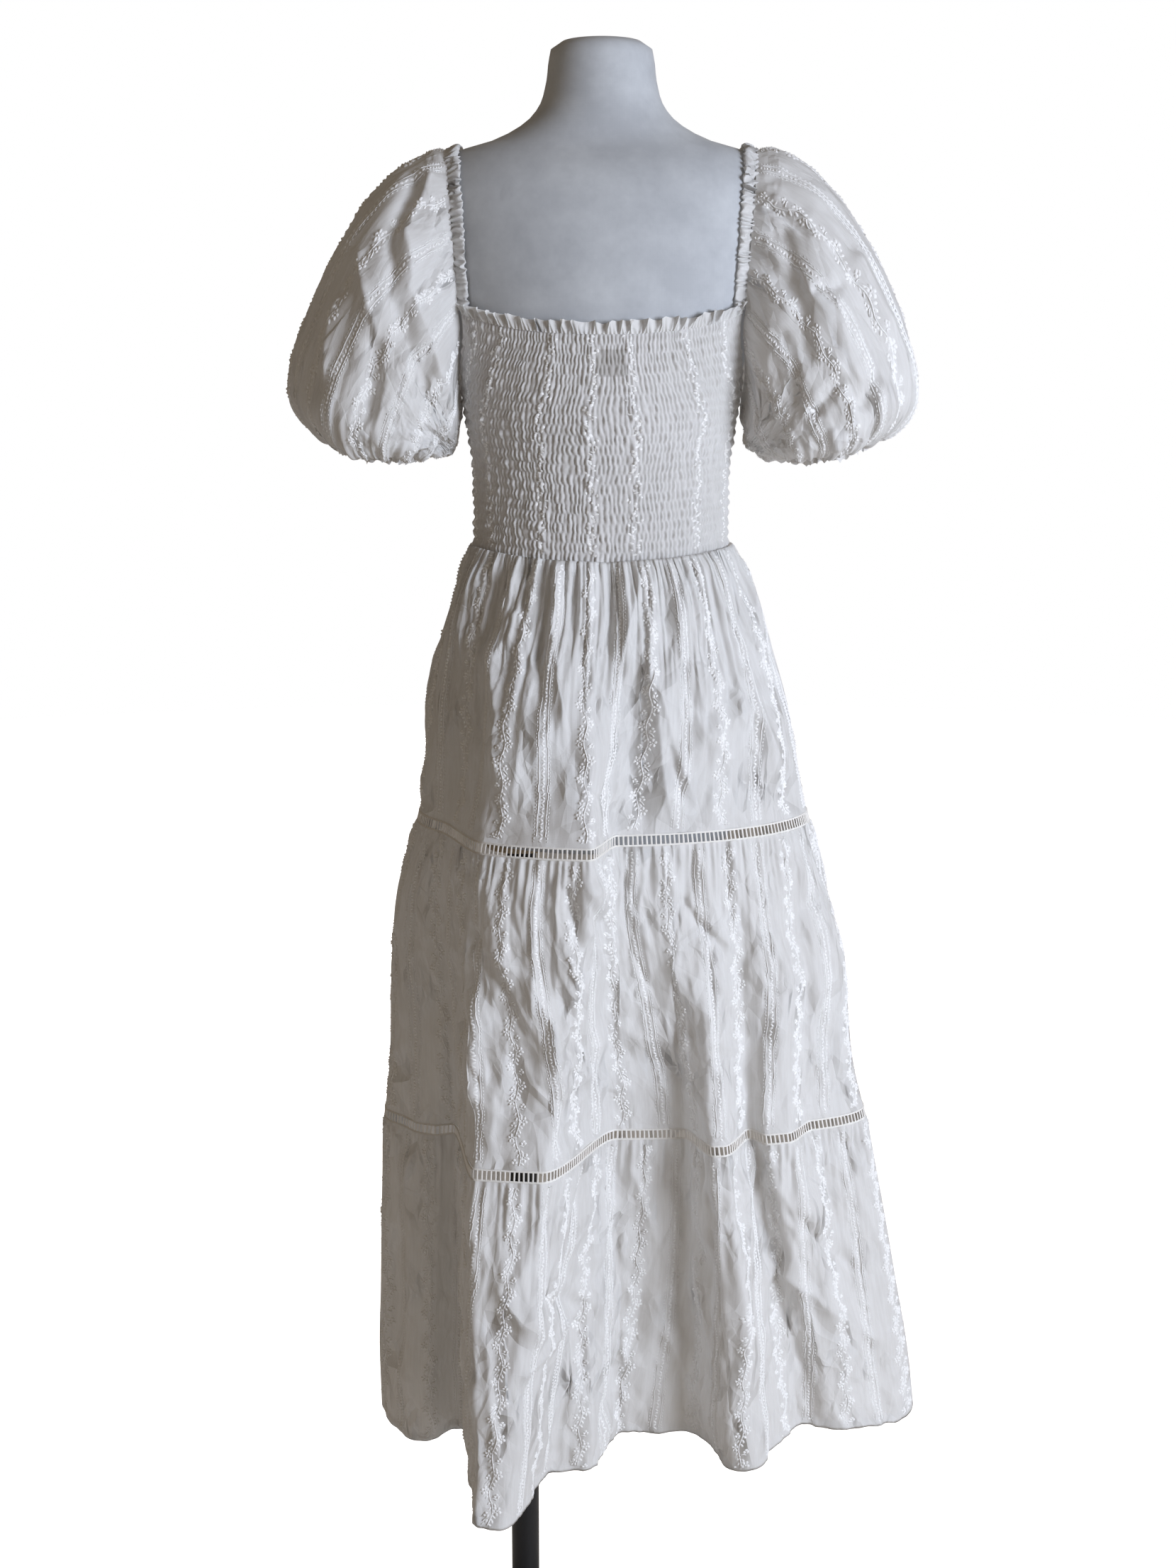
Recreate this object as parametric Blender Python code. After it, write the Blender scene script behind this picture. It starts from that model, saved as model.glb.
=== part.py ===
"""Peasant dress on a limbless dress form.

Metres, +Z up. The dress's back faces -Y, and +X is the wearer's right.
"""
import math
import bpy
import numpy as np

# Spaces and walls
SEAM = 0.0003
CLOTH = 0.0013
BODY_X = -0.001
FORM_GAP = 0.0022

# Heights of the seams, from the floor
WAIST_Z = 1.2165
WAIST_DIP = 0.0105
LADDER_1_Z = 0.950
LADDER_2_Z = 0.642
HEM_Z = 0.318
LADDER_HEIGHT = 0.0115
UNDERARM_Z = 1.336

# The dress form, a row per section: height, half width, depth behind, depth in front
FORM_COLUMNS = ("z", "half", "back", "front")
FORM_SECTIONS = (
    (0.930, 0.126, 0.096, 0.084),
    (0.965, 0.137, 0.104, 0.092),
    (1.010, 0.144, 0.110, 0.098),
    (1.050, 0.145, 0.110, 0.100),
    (1.100, 0.139, 0.104, 0.097),
    (1.150, 0.128, 0.094, 0.091),
    (1.185, 0.120, 0.086, 0.087),
    (1.215, 0.1180, 0.083, 0.086),
    (1.255, 0.1175, 0.083, 0.090),
    (1.295, 0.1190, 0.087, 0.099),
    (1.335, 0.1250, 0.092, 0.112),
    (1.375, 0.1330, 0.096, 0.121),
    (1.405, 0.1400, 0.098, 0.121),
    (1.435, 0.1480, 0.099, 0.114),
    (1.470, 0.1570, 0.098, 0.103),
    (1.510, 0.1650, 0.092, 0.090),
    (1.545, 0.1670, 0.081, 0.073),
    (1.565, 0.1570, 0.070, 0.063),
    (1.577, 0.1420, 0.061, 0.056),
    (1.587, 0.1060, 0.056, 0.053),
    (1.602, 0.0750, 0.053, 0.052),
    (1.618, 0.0590, 0.051, 0.051),
    (1.640, 0.0515, 0.049, 0.049),
    (1.664, 0.0480, 0.047, 0.047),
    (1.673, 0.0440, 0.043, 0.043),
    (1.676, 0.0370, 0.036, 0.036),
)
FORM_AROUND = 24

# The skirt, a row per section: height, reach to the left, reach to the right, depth behind and depth in front
# without folds, and the power of the section's curve
SKIRT_COLUMNS = ("z", "left", "right", "back", "front", "power")
SKIRT_SECTIONS = (
    (1.218, 0.1265, 0.1250, 0.0900, 0.0930, 2.0),
    (1.194, 0.1340, 0.1370, 0.0970, 0.1010, 2.0),
    (1.159, 0.1450, 0.1500, 0.1060, 0.1110, 2.0),
    (1.124, 0.1570, 0.1620, 0.1140, 0.1210, 2.0),
    (1.090, 0.1650, 0.1720, 0.1200, 0.1300, 2.0),
    (1.055, 0.1705, 0.1820, 0.1240, 0.1380, 2.0),
    (0.984, 0.1750, 0.1960, 0.1270, 0.1520, 1.9),
    (0.950, 0.1810, 0.2040, 0.1270, 0.1600, 1.9),
    (0.876, 0.2030, 0.2240, 0.1170, 0.1750, 1.9),
    (0.803, 0.2100, 0.2420, 0.1000, 0.1880, 2.0),
    (0.691, 0.2150, 0.2560, 0.0790, 0.2040, 2.1),
    (0.642, 0.2200, 0.2680, 0.0720, 0.2100, 2.1),
    (0.538, 0.2255, 0.2900, 0.0650, 0.2220, 2.2),
    (0.460, 0.2280, 0.3050, 0.0610, 0.2310, 2.2),
    (0.381, 0.2310, 0.3200, 0.0580, 0.2400, 2.2),
    (0.318, 0.2300, 0.3280, 0.0560, 0.2450, 2.2),
)

# The big folds, a row per fold and height: side, fold, height, left foot and top, right top and foot, depth
FOLD_COLUMNS = ("side", "fold", "z", "left_foot", "left_top", "right_top", "right_foot", "depth")
FOLDS = (
    ("back", "sweep", 1.160, -0.100, -0.060, -0.020, 0.020, 0.000),
    ("back", "sweep", 0.950, -0.158, -0.110, -0.012, 0.014, 0.060),
    ("back", "sweep", 0.642, -0.148, -0.120, -0.058, 0.016, 0.105),
    ("back", "sweep", 0.318, -0.143, -0.116, -0.098, -0.046, 0.120),
    ("back", "ledge", 0.700, -0.140, -0.118, -0.030, 0.016, 0.000),
    ("back", "ledge", 0.318, -0.142, -0.118, -0.008, 0.020, 0.065),
    ("back", "left_edge", 0.800, -0.190, -0.170, -0.160, -0.140, 0.000),
    ("back", "left_edge", 0.318, -0.226, -0.200, -0.180, -0.150, 0.034),
    ("back", "ridge", 0.900, 0.060, 0.090, 0.100, 0.130, 0.000),
    ("back", "ridge", 0.642, 0.080, 0.108, 0.117, 0.152, 0.052),
    ("back", "ridge", 0.318, 0.085, 0.134, 0.150, 0.206, 0.074),
    ("back", "right_edge", 0.950, 0.120, 0.150, 0.160, 0.190, 0.000),
    ("back", "right_edge", 0.642, 0.140, 0.162, 0.182, 0.210, 0.028),
    ("back", "right_edge", 0.318, 0.215, 0.245, 0.262, 0.300, 0.016),
    ("front", "first", 1.100, -0.150, -0.110, -0.100, -0.060, 0.000),
    ("front", "first", 0.318, -0.200, -0.150, -0.130, -0.080, 0.046),
    ("front", "second", 1.100, -0.050, -0.020, -0.010, 0.030, 0.004),
    ("front", "second", 0.318, -0.070, -0.030, -0.005, 0.030, 0.038),
    ("front", "third", 1.000, 0.040, 0.070, 0.080, 0.110, 0.000),
    ("front", "third", 0.318, 0.050, 0.090, 0.115, 0.150, 0.050),
    ("front", "fourth", 0.900, 0.110, 0.135, 0.145, 0.170, 0.000),
    ("front", "fourth", 0.318, 0.175, 0.205, 0.225, 0.270, 0.036),
)

# The hem behind, a row per stretch: where it stands across the skirt, and how far it hangs below its level
HEM_COLUMNS = ("x", "drop")
HEM_DROPS = (
    (-0.230, 0.000),
    (-0.195, 0.006),
    (-0.150, 0.004),
    (-0.110, 0.002),
    (-0.045, 0.011),
    (0.000, 0.009),
    (0.020, 0.003),
    (0.090, 0.003),
    (0.125, 0.008),
    (0.175, 0.002),
    (0.205, -0.003),
    (0.250, -0.003),
    (0.305, 0.009),
    (0.328, 0.006),
)

# The gathered tiers, a row per panel: side, top, bottom, gathers, columns, rows, waves at top and bottom
TIER_COLUMNS = ("name", "side", "top", "bottom", "gathers", "columns", "rows", "top_wave", "bottom_wave")
BAND = LADDER_HEIGHT / 2 + SEAM
TIERS = (
    ("tier_1_back", "back", WAIST_Z - SEAM, LADDER_1_Z + BAND, 24, 48, 6, 0.0026, 0.0016),
    ("tier_1_front", "front", WAIST_Z - SEAM, LADDER_1_Z + BAND, 10, 28, 5, 0.0026, 0.0016),
    ("tier_2_back", "back", LADDER_1_Z - BAND, LADDER_2_Z + BAND, 14, 48, 6, 0.0024, 0.0016),
    ("tier_2_front", "front", LADDER_1_Z - BAND, LADDER_2_Z + BAND, 8, 28, 5, 0.0024, 0.0016),
    ("tier_3_back", "back", LADDER_2_Z - BAND, HEM_Z, 10, 50, 6, 0.0024, 0.0040),
    ("tier_3_front", "front", LADDER_2_Z - BAND, HEM_Z, 6, 28, 5, 0.0024, 0.0040),
)
LADDER_COLUMNS = ("name", "side", "middle_z", "columns")
LADDERS = (
    ("ladder_1_back", "back", LADDER_1_Z, 46),
    ("ladder_1_front", "front", LADDER_1_Z, 26),
    ("ladder_2_back", "back", LADDER_2_Z, 50),
    ("ladder_2_front", "front", LADDER_2_Z, 26),
)
LADDER_WALL = 0.0010
LADDER_WAVES = 8

# The bodice: neckline heights at the middle and at the corners, and how far round the corners stand, in degrees
BACK_TOP_MIDDLE_Z = 1.4125
BACK_TOP_CORNER_Z = 1.4330
FRONT_TOP_MIDDLE_Z = 1.4300
FRONT_TOP_CORNER_Z = 1.4400
BACK_CORNER_TURN = 30.0
FRONT_CORNER_TURN = 31.0
FRONT_COLUMNS = 18
FRONT_ROWS = 7

# The smocking: pleats across, puffs up the panel, and how far the cloth stands off the form
SMOCK_PLEATS = 54
SMOCK_PUFFS = 6
SMOCK_INSIDE = 0.0016
SMOCK_INSIDE_COLUMNS = 24
SMOCK_INSIDE_ROWS = 10
SMOCK_VALLEY = 0.0030
SMOCK_PEAK = 0.0044
SMOCK_THREAD = 0.0034

# The ruffle above the smocking
RUFFLE_WAVES = 20
RUFFLE_HEIGHT = 0.0120
RUFFLE_FOOT_WAVE = 0.0003
RUFFLE_EDGE_WAVE = 0.0042
RUFFLE_REACH = 0.895
RUFFLE_FOOT_OFF = 0.0032
RUFFLE_EDGE_OFF = 0.0074
RUFFLE_WALL = 0.0012

# The casing over each shoulder: the height of its path's top, its width, wall and gathers
SHOULDER_Z = 1.5768
SHOULDER_X = 0.1405
CASING_WIDTH = 0.0100
CASING_LOW = 0.0020
CASING_HIGH = 0.0042
CASING_WAVE = 0.0007
CASING_GATHERS = 8
CASING_END = 0.975
CASING_STEPS = 24

# The puff sleeve, a row per ring: the outer point's x and z, the underarm point's x and z, the half depth,
# the power of its curve, how far its front and back sag, and the height of its gathers
SLEEVE_COLUMNS = ("outer_x", "outer_z", "inner_x", "inner_z", "depth", "power", "sag", "wave")
SLEEVE_RINGS = (
    (0.1660, 1.5785, 0.1385, 1.3240, 0.078, 2.3, 0.000, 0.0022),
    (0.1990, 1.5590, 0.1390, 1.3130, 0.090, 2.2, 0.000, 0.0022),
    (0.2370, 1.5110, 0.1410, 1.3080, 0.098, 2.1, 0.000, 0.0018),
    (0.2660, 1.4580, 0.1440, 1.3040, 0.100, 2.0, 0.001, 0.0016),
    (0.2880, 1.4020, 0.1490, 1.3010, 0.098, 2.0, 0.003, 0.0018),
    (0.2950, 1.3620, 0.1560, 1.2985, 0.092, 2.0, 0.006, 0.0022),
    (0.2850, 1.3380, 0.1640, 1.2980, 0.079, 2.0, 0.010, 0.0026),
    (0.2650, 1.3230, 0.1720, 1.3000, 0.064, 2.0, 0.012, 0.0026),
    (0.2500, 1.3220, 0.1790, 1.3070, 0.046, 2.0, 0.007, 0.0004),
)
SLEEVE_REACH = {"left": 0.990, "right": 1.016}
SLEEVE_COLUMNS_AROUND = 36
SLEEVE_GATHERS = 12
SLEEVE_STAND_OFF = 0.0036
ARMHOLE_CLEAR = 0.0012
UNDERARM_CLEAR = 0.0030
ARMHOLE_EASE = 0.0200
ARMHOLE_TURN_CLEAR = 0.012
# The cuff is the drawn-in edge from this ring on, with a short frill below its elastic
CUFF_RING = 7
FRILL_HEIGHT = 0.0125
FRILL_GATHERS = 6
FRILL_WAVE = 0.0022

# The stand
POLE_X = -0.080
POLE_RADIUS = 0.0145
POLE_SIDES = 24
COLLAR_RADIUS = 0.034
COLLAR_HEIGHT = 0.014
BASE_RADIUS = 0.185
BASE_EDGE = 0.004
BASE_HEIGHT = 0.010
BASE_SIDES = 36

# Materials: name, colour, roughness, metallic
COTTON = ("off_white_cotton_voile", (0.80, 0.78, 0.74), 0.85, 0.0)
SMOCKED = ("smocked_cotton_voile", (0.76, 0.75, 0.72), 0.88, 0.0)
LADDER_LACE = ("cotton_ladder_lace", (0.74, 0.71, 0.66), 0.85, 0.0)
CANVAS = ("grey_form_canvas", (0.47, 0.50, 0.55), 0.90, 0.0)
BLACK_PAINT = ("black_painted_steel", (0.010, 0.010, 0.011), 0.38, 0.0)
PALE_BOARD = ("pale_form_board", (0.46, 0.40, 0.32), 0.70, 0.0)


def table(columns, rows):
    """Each named column of a table as an array, its rows sorted by height."""
    ordered = sorted(rows, key=lambda row: row[columns.index("z")])
    return {name: np.array([row[k] for row in ordered]) for k, name in enumerate(columns)}


def smooth(t):
    t = np.clip(t, 0.0, 1.0)
    return t * t * (3 - 2 * t)


def at_height(columns, name, z):
    return np.interp(z, columns["z"], columns[name])


def uneven(count, spread, seed):
    """A factor near 1 for each of count gathers, from a sum of slow waves."""
    k = np.arange(count)
    return 1 + spread * (0.6 * np.sin(2.3 * k + seed) + 0.4 * np.sin(4.1 * k + 2.7 * seed))


FORM = table(FORM_COLUMNS, FORM_SECTIONS)
SKIRT = table(SKIRT_COLUMNS, SKIRT_SECTIONS)


def facing_out(points, faces):
    """The faces, all turned over if they enclose a negative volume."""
    points = np.asarray(points)
    volume = 0.0
    for face in faces:
        for k in range(1, len(face) - 1):
            volume += np.dot(points[face[0]], np.cross(points[face[k]], points[face[k + 1]]))
    return faces if volume > 0 else [tuple(face)[::-1] for face in faces]


def add_object(name, points, faces, material):
    faces = facing_out(points, faces)
    mesh = bpy.data.meshes.new(name)
    mesh.from_pydata([tuple(p) for p in points], [], [tuple(f) for f in faces])
    mesh.update()
    mesh.materials.append(materials[material[0]])
    piece = bpy.data.objects.new(name, mesh)
    bpy.context.collection.objects.link(piece)
    return piece


def strip(first, second):
    """Triangles between two chains of point numbers that run the same way, of any lengths."""
    faces = []
    i = j = 0
    while i < len(first) - 1 or j < len(second) - 1:
        forward = (i + 1) / max(len(first) - 1, 1)
        other = (j + 1) / max(len(second) - 1, 1)
        if j == len(second) - 1 or (i < len(first) - 1 and forward <= other):
            faces.append((first[i], first[i + 1], second[j]))
            i += 1
        else:
            faces.append((first[i], second[j + 1], second[j]))
            j += 1
    return faces


def sheet_faces(numbers):
    """Two triangles for each cell of a grid of point numbers."""
    faces = []
    for upper, lower in zip(numbers[:-1], numbers[1:]):
        for k in range(len(upper) - 1):
            faces.append((upper[k], lower[k], upper[k + 1]))
            faces.append((lower[k], lower[k + 1], upper[k + 1]))
    return faces


def wall(name, outer, inner, material, closed=False):
    """A closed wall between two grids of points. The outer one faces out, its rows running down the piece."""
    outer_numbers = np.arange(outer[..., 0].size).reshape(outer.shape[:2])
    inner_numbers = outer_numbers.size + np.arange(inner[..., 0].size).reshape(inner.shape[:2])
    if closed:
        outer_numbers = np.hstack([outer_numbers, outer_numbers[:, :1]])
        inner_numbers = np.hstack([inner_numbers, inner_numbers[:, :1]])
    faces = sheet_faces(outer_numbers)
    faces += [face[::-1] for face in sheet_faces(inner_numbers)]
    faces += strip(outer_numbers[0], inner_numbers[0])
    faces += [face[::-1] for face in strip(outer_numbers[-1], inner_numbers[-1])]
    if not closed:
        faces += [face[::-1] for face in strip(outer_numbers[:, 0], inner_numbers[:, 0])]
        faces += strip(outer_numbers[:, -1], inner_numbers[:, -1])
    points = np.vstack([outer.reshape(-1, 3), inner.reshape(-1, 3)])
    return add_object(name, points, faces, material)


def resample(points, count, closed=False):
    """Points at even steps along a chain."""
    if closed:
        points = np.vstack([points, points[:1]])
    along = np.concatenate([[0], np.cumsum(np.linalg.norm(np.diff(points, axis=0), axis=1))])
    steps = np.linspace(0, along[-1], count + 1 if closed else count)
    if closed:
        steps = steps[:-1]
    return np.stack([np.interp(steps, along, points[:, k]) for k in range(3)], axis=1)


def skirt_xy(z, angle):
    """The skirt's outside at a height and an angle, with its big folds."""
    power = 2 / at_height(SKIRT, "power", z)
    across, along = np.cos(angle), np.sin(angle)
    half = np.where(across < 0, at_height(SKIRT, "left", z), at_height(SKIRT, "right", z))
    x = half * np.sign(across) * np.abs(across) ** power
    back, front = at_height(SKIRT, "back", z), at_height(SKIRT, "front", z)
    y = np.where(along < 0, back, front) * np.sign(along) * np.abs(along) ** power
    for side, fold in sorted({(row[0], row[1]) for row in FOLDS}):
        shape = table(FOLD_COLUMNS, [row for row in FOLDS if row[:2] == (side, fold)])
        left_foot, left_top, right_top, right_foot, depth = (
            np.interp(z, shape["z"], shape[name].astype(float)) for name in FOLD_COLUMNS[3:]
        )
        rise = smooth((x - left_foot) / (left_top - left_foot))
        fall = smooth((right_foot - x) / (right_foot - right_top))
        if side == "back":
            y = y - np.where(along < 0, depth * rise * fall, 0)
        else:
            y = y + np.where(along > 0, depth * rise * fall, 0)
    return x, y


def waist_drop(angle):
    """How far the waist seam hangs below its sides, behind only."""
    return WAIST_DIP * np.clip(-np.sin(angle), 0, 1) ** 2


def side_angles(side, count, top, bottom):
    """Angles at even steps of the cloth's width, as an average of the panel's top and bottom."""
    start = math.pi if side == "back" else 0.0
    angle = start + np.linspace(0, math.pi, 721)
    length = np.zeros_like(angle)
    for z in np.linspace(bottom, top, 4):
        x, y = skirt_xy(np.full_like(angle, z), angle)
        length[1:] += np.cumsum(np.hypot(np.diff(x), np.diff(y)))
    return np.interp(np.linspace(0, length[-1], count + 1), length, angle)


def hem_drop(angle):
    """How far the hem hangs below its level, behind only."""
    x, _ = skirt_xy(np.full_like(angle, HEM_Z), angle)
    where, drop = (np.array(column) for column in zip(*HEM_DROPS))
    return np.interp(x, where, drop) * smooth(-np.sin(angle) * 4)


def skirt_grid(name, side, top, bottom, count, rows, gathers, top_wave, bottom_wave):
    """Outer points and outward directions of a skirt panel."""
    angle = side_angles(side, count, top, bottom)
    share = np.linspace(0, 1, rows + 1)[:, None]
    level = np.zeros_like(angle)
    top_drop = waist_drop(angle) if name.startswith("tier_1") else level
    foot_drop = hem_drop(angle) if name.startswith("tier_3") else level
    z = (top - top_drop[None, :]) * (1 - share) + (bottom - foot_drop[None, :]) * share
    angles = np.broadcast_to(angle[None, :], z.shape)
    x, y = skirt_xy(np.maximum(z, HEM_Z), angles)
    run = np.arange(count + 1) / count * gathers
    wave = np.cos(2 * math.pi * run) * uneven(gathers + 1, 0.35, 1.0 + gathers)[np.round(run).astype(int)]
    wave[0] = wave[-1] = 0
    size = top_wave * (1 - share) ** 1.3 + bottom_wave * share
    dx, dy = np.gradient(x, axis=1), np.gradient(y, axis=1)
    length = np.hypot(dx, dy)
    out = np.stack([dy / length, -dx / length, np.zeros_like(dx)], axis=-1)
    out[:, 0] = (-1, 0, 0) if side == "back" else (1, 0, 0)
    out[:, -1] = (1, 0, 0) if side == "back" else (-1, 0, 0)
    points = np.stack([x, y, z], axis=-1) + out * (size * wave[None, :])[..., None]
    shift = -SEAM / 2 if side == "back" else SEAM / 2
    points[:, 0, 1] = shift
    points[:, -1, 1] = shift
    return points, out


def body_point(z, angle, stand_off):
    """A point off the form's side, out along the level."""
    half = at_height(FORM, "half", z)
    depth = np.where(np.sin(angle) < 0, at_height(FORM, "back", z), at_height(FORM, "front", z))
    x, y = half * np.cos(angle), depth * np.sin(angle)
    nx, ny = np.cos(angle) * depth, np.sin(angle) * half
    length = np.hypot(nx, ny)
    return np.stack([BODY_X + x + stand_off * nx / length, y + stand_off * ny / length, z], axis=-1)


def form_normal(z, angle):
    """The form's outward direction, from small steps along it."""
    step = 1e-4
    around = body_point(z, angle + step, 0) - body_point(z, angle - step, 0)
    up = body_point(z + step, angle, 0) - body_point(z - step, angle, 0)
    out = np.cross(around, up)
    return out / np.linalg.norm(out, axis=-1, keepdims=True)


def corner_turn(z, corner_z, turn):
    """How far round from the side seam the armhole edge stands at a height, in radians."""
    return math.radians(turn) * smooth((z - UNDERARM_Z) / (corner_z - UNDERARM_Z)) ** 0.8


def bodice_grid(side, count, rows):
    """Heights and angles of a bodice panel, from its neckline down to the waist."""
    back = side == "back"
    middle_z = BACK_TOP_MIDDLE_Z if back else FRONT_TOP_MIDDLE_Z
    corner_z = BACK_TOP_CORNER_Z if back else FRONT_TOP_CORNER_Z
    turn = BACK_CORNER_TURN if back else FRONT_CORNER_TURN
    across = np.linspace(-1, 1, count + 1)[None, :]
    share = np.linspace(0, 1, rows + 1)[:, None]
    top = middle_z + (corner_z - middle_z) * np.abs(across) ** 2.2
    half_angle = math.pi / 2 - corner_turn(corner_z * (1 - share) + WAIST_Z * share, corner_z, turn)
    if back:
        angle = 1.5 * math.pi + across * half_angle
    else:
        angle = 0.5 * math.pi + across * half_angle
    foot = WAIST_Z - waist_drop(angle)
    z = top * (1 - share) + foot * share
    return z, angle


def trim_side_seams(points, side):
    """The side seam's edge moved to its side of the seam."""
    shift, limit = (-SEAM / 2, np.minimum) if side == "back" else (SEAM / 2, np.maximum)
    for column in (0, -1):
        points[:, column, 1] = limit(points[:, column, 1], shift)
    return points


def shoulder_path(count, end=1.0):
    """The casing's outer line over the wearer's right shoulder, from the back corner to the front one.

    It comes with the form's outward direction, and its x is measured from the form's middle.
    """
    run = np.linspace(-end, end, count)
    corner_z = np.where(run < 0, BACK_TOP_CORNER_Z, FRONT_TOP_CORNER_Z)
    z = SHOULDER_Z - (SHOULDER_Z - corner_z) * np.abs(run) ** 1.6
    turn = np.where(run < 0, BACK_CORNER_TURN, FRONT_CORNER_TURN)
    corner_x = at_height(FORM, "half", corner_z) * np.cos(np.radians(turn))
    x = SHOULDER_X + (corner_x - SHOULDER_X) * np.abs(run) ** 1.4
    ratio = np.clip(x / at_height(FORM, "half", z), -1, 1)
    angle = np.sign(run) * np.arccos(ratio)
    points = body_point(z, angle, 0)
    points[:, 0] -= BODY_X
    return points, form_normal(z, angle)


def mirror(points, side):
    """Points worked out for the wearer's right, placed on a side of the form."""
    moved = points.copy()
    if side == "left":
        moved[..., 0] = -moved[..., 0]
    moved[..., 0] += BODY_X
    return moved


def casing(name, side):
    path, out = shoulder_path(CASING_STEPS + 1, CASING_END)
    along = np.gradient(path, axis=0)
    along /= np.linalg.norm(along, axis=1)[:, None]
    inward = np.cross(out, along)
    inward /= np.linalg.norm(inward, axis=1)[:, None]
    inward *= np.where(inward[:, :1] > 0, -1, 1)
    run = np.arange(CASING_STEPS + 1) / CASING_STEPS * CASING_GATHERS
    wave = CASING_WAVE * np.cos(2 * math.pi * run)
    rows = []
    for across, height in ((0.0, 0.35), (0.0, 0.8), (0.3, 1.0), (0.7, 1.0), (1.0, 0.8), (1.0, 0.35)):
        rise = CASING_LOW + (CASING_HIGH - CASING_LOW) * height
        lift = rise + wave * (height - 0.35)
        rows.append(path + inward * (CASING_WIDTH * across) + out * lift[:, None])
    outer = np.array(rows)
    foot = [path + inward * (CASING_WIDTH * across) + out * CASING_LOW for across in (0.0, 1.0)]
    inner = np.array([foot[0], foot[1]])
    return wall(name, mirror(outer, side), mirror(inner, side), COTTON)


def armhole_loop(count):
    """The sleeve's first ring: up the bodice's back edge, over the shoulder, down its front edge."""
    chains = []
    back_edge = (BACK_TOP_CORNER_Z, BACK_CORNER_TURN, -1)
    front_edge = (FRONT_TOP_CORNER_Z, FRONT_CORNER_TURN, 1)
    for corner_z, turn, sign in (back_edge, front_edge):
        z = np.linspace(UNDERARM_Z, corner_z, 24)
        angle = sign * np.clip(corner_turn(z, corner_z, turn) - ARMHOLE_TURN_CLEAR, 0, None)
        chain = body_point(z, angle, SLEEVE_STAND_OFF)
        ease = smooth((z - UNDERARM_Z) / ARMHOLE_EASE)
        chain[:, 0] += ARMHOLE_CLEAR * ease + UNDERARM_CLEAR * (1 - ease) - BODY_X
        chains.append(chain)
    path, out = shoulder_path(61)
    over = path + out * SLEEVE_STAND_OFF
    over[:, 0] += ARMHOLE_CLEAR
    loop = np.vstack([chains[0], over[2:-2], chains[1][::-1][:-1]])
    return resample(loop, count, closed=True)


def sleeve_ring(outer_x, outer_z, inner_x, inner_z, depth, power, sag, count):
    angle = np.linspace(0, 2 * math.pi, 361)[:-1]
    across = np.sign(np.cos(angle)) * np.abs(np.cos(angle)) ** (2 / power)
    along = np.sign(np.sin(angle)) * np.abs(np.sin(angle)) ** (2 / power)
    middle = np.array([(outer_x + inner_x) / 2, 0, (outer_z + inner_z) / 2])
    reach = np.array([(outer_x - inner_x) / 2, 0, (outer_z - inner_z) / 2])
    ring = middle - across[:, None] * reach + along[:, None] * np.array([0, -depth, 0])
    ring[:, 2] -= sag * along**2
    return resample(ring, count, closed=True)


def ring_directions(grid):
    """Outward directions of rings of points that run from underarm to back."""
    around = np.roll(grid, -1, axis=1) - np.roll(grid, 1, axis=1)
    down = np.gradient(grid, axis=0)
    out = np.cross(down, around)
    out /= np.linalg.norm(out, axis=-1, keepdims=True)
    middle = grid.mean(axis=1, keepdims=True)
    turned = np.sum(out * (grid - middle), axis=-1, keepdims=True)
    return out * (1 if np.mean(turned) > 0 else -1)


def frill_ring(ring):
    """The frill's edge below the last ring, flared and drawn in by turns."""
    spoke = ring - ring.mean(axis=0)
    spoke[:, 2] = 0
    spoke /= np.linalg.norm(spoke, axis=1)[:, None]
    run = np.arange(len(ring)) / len(ring) * FRILL_GATHERS
    edge = ring + spoke * (FRILL_WAVE * np.cos(2 * math.pi * run))[:, None]
    edge[:, 2] -= FRILL_HEIGHT
    return edge


def sleeve_and_cuff(side):
    reach = SLEEVE_REACH[side]
    rings = [armhole_loop(SLEEVE_COLUMNS_AROUND)]
    for outer_x, *shape, _ in SLEEVE_RINGS:
        rings.append(sleeve_ring(outer_x * reach, *shape, SLEEVE_COLUMNS_AROUND))
    rings.append(frill_ring(rings[-1]))
    grid = np.array(rings)
    out = ring_directions(grid)
    run = np.arange(SLEEVE_COLUMNS_AROUND) / SLEEVE_COLUMNS_AROUND * SLEEVE_GATHERS
    wave = np.cos(2 * math.pi * run) * uneven(SLEEVE_GATHERS + 1, 0.3, 2.0)[np.round(run).astype(int)]
    size = np.array([0.0] + [row[SLEEVE_COLUMNS.index("wave")] for row in SLEEVE_RINGS] + [0.0])
    grid = grid + out * (size[:, None] * wave[None, :])[..., None]
    out = ring_directions(grid)
    outer, inner = mirror(grid, side), mirror(grid - out * CLOTH, side)
    wall("sleeve_" + side, outer[: CUFF_RING + 1], inner[: CUFF_RING + 1], COTTON, closed=True)

    outer, inner = outer[CUFF_RING:], inner[CUFF_RING:]
    for points in (outer, inner):
        down = points[1] - points[0]
        points[0] += down / np.linalg.norm(down, axis=1)[:, None] * SEAM
    wall("cuff_" + side, outer, inner, COTTON, closed=True)


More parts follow.
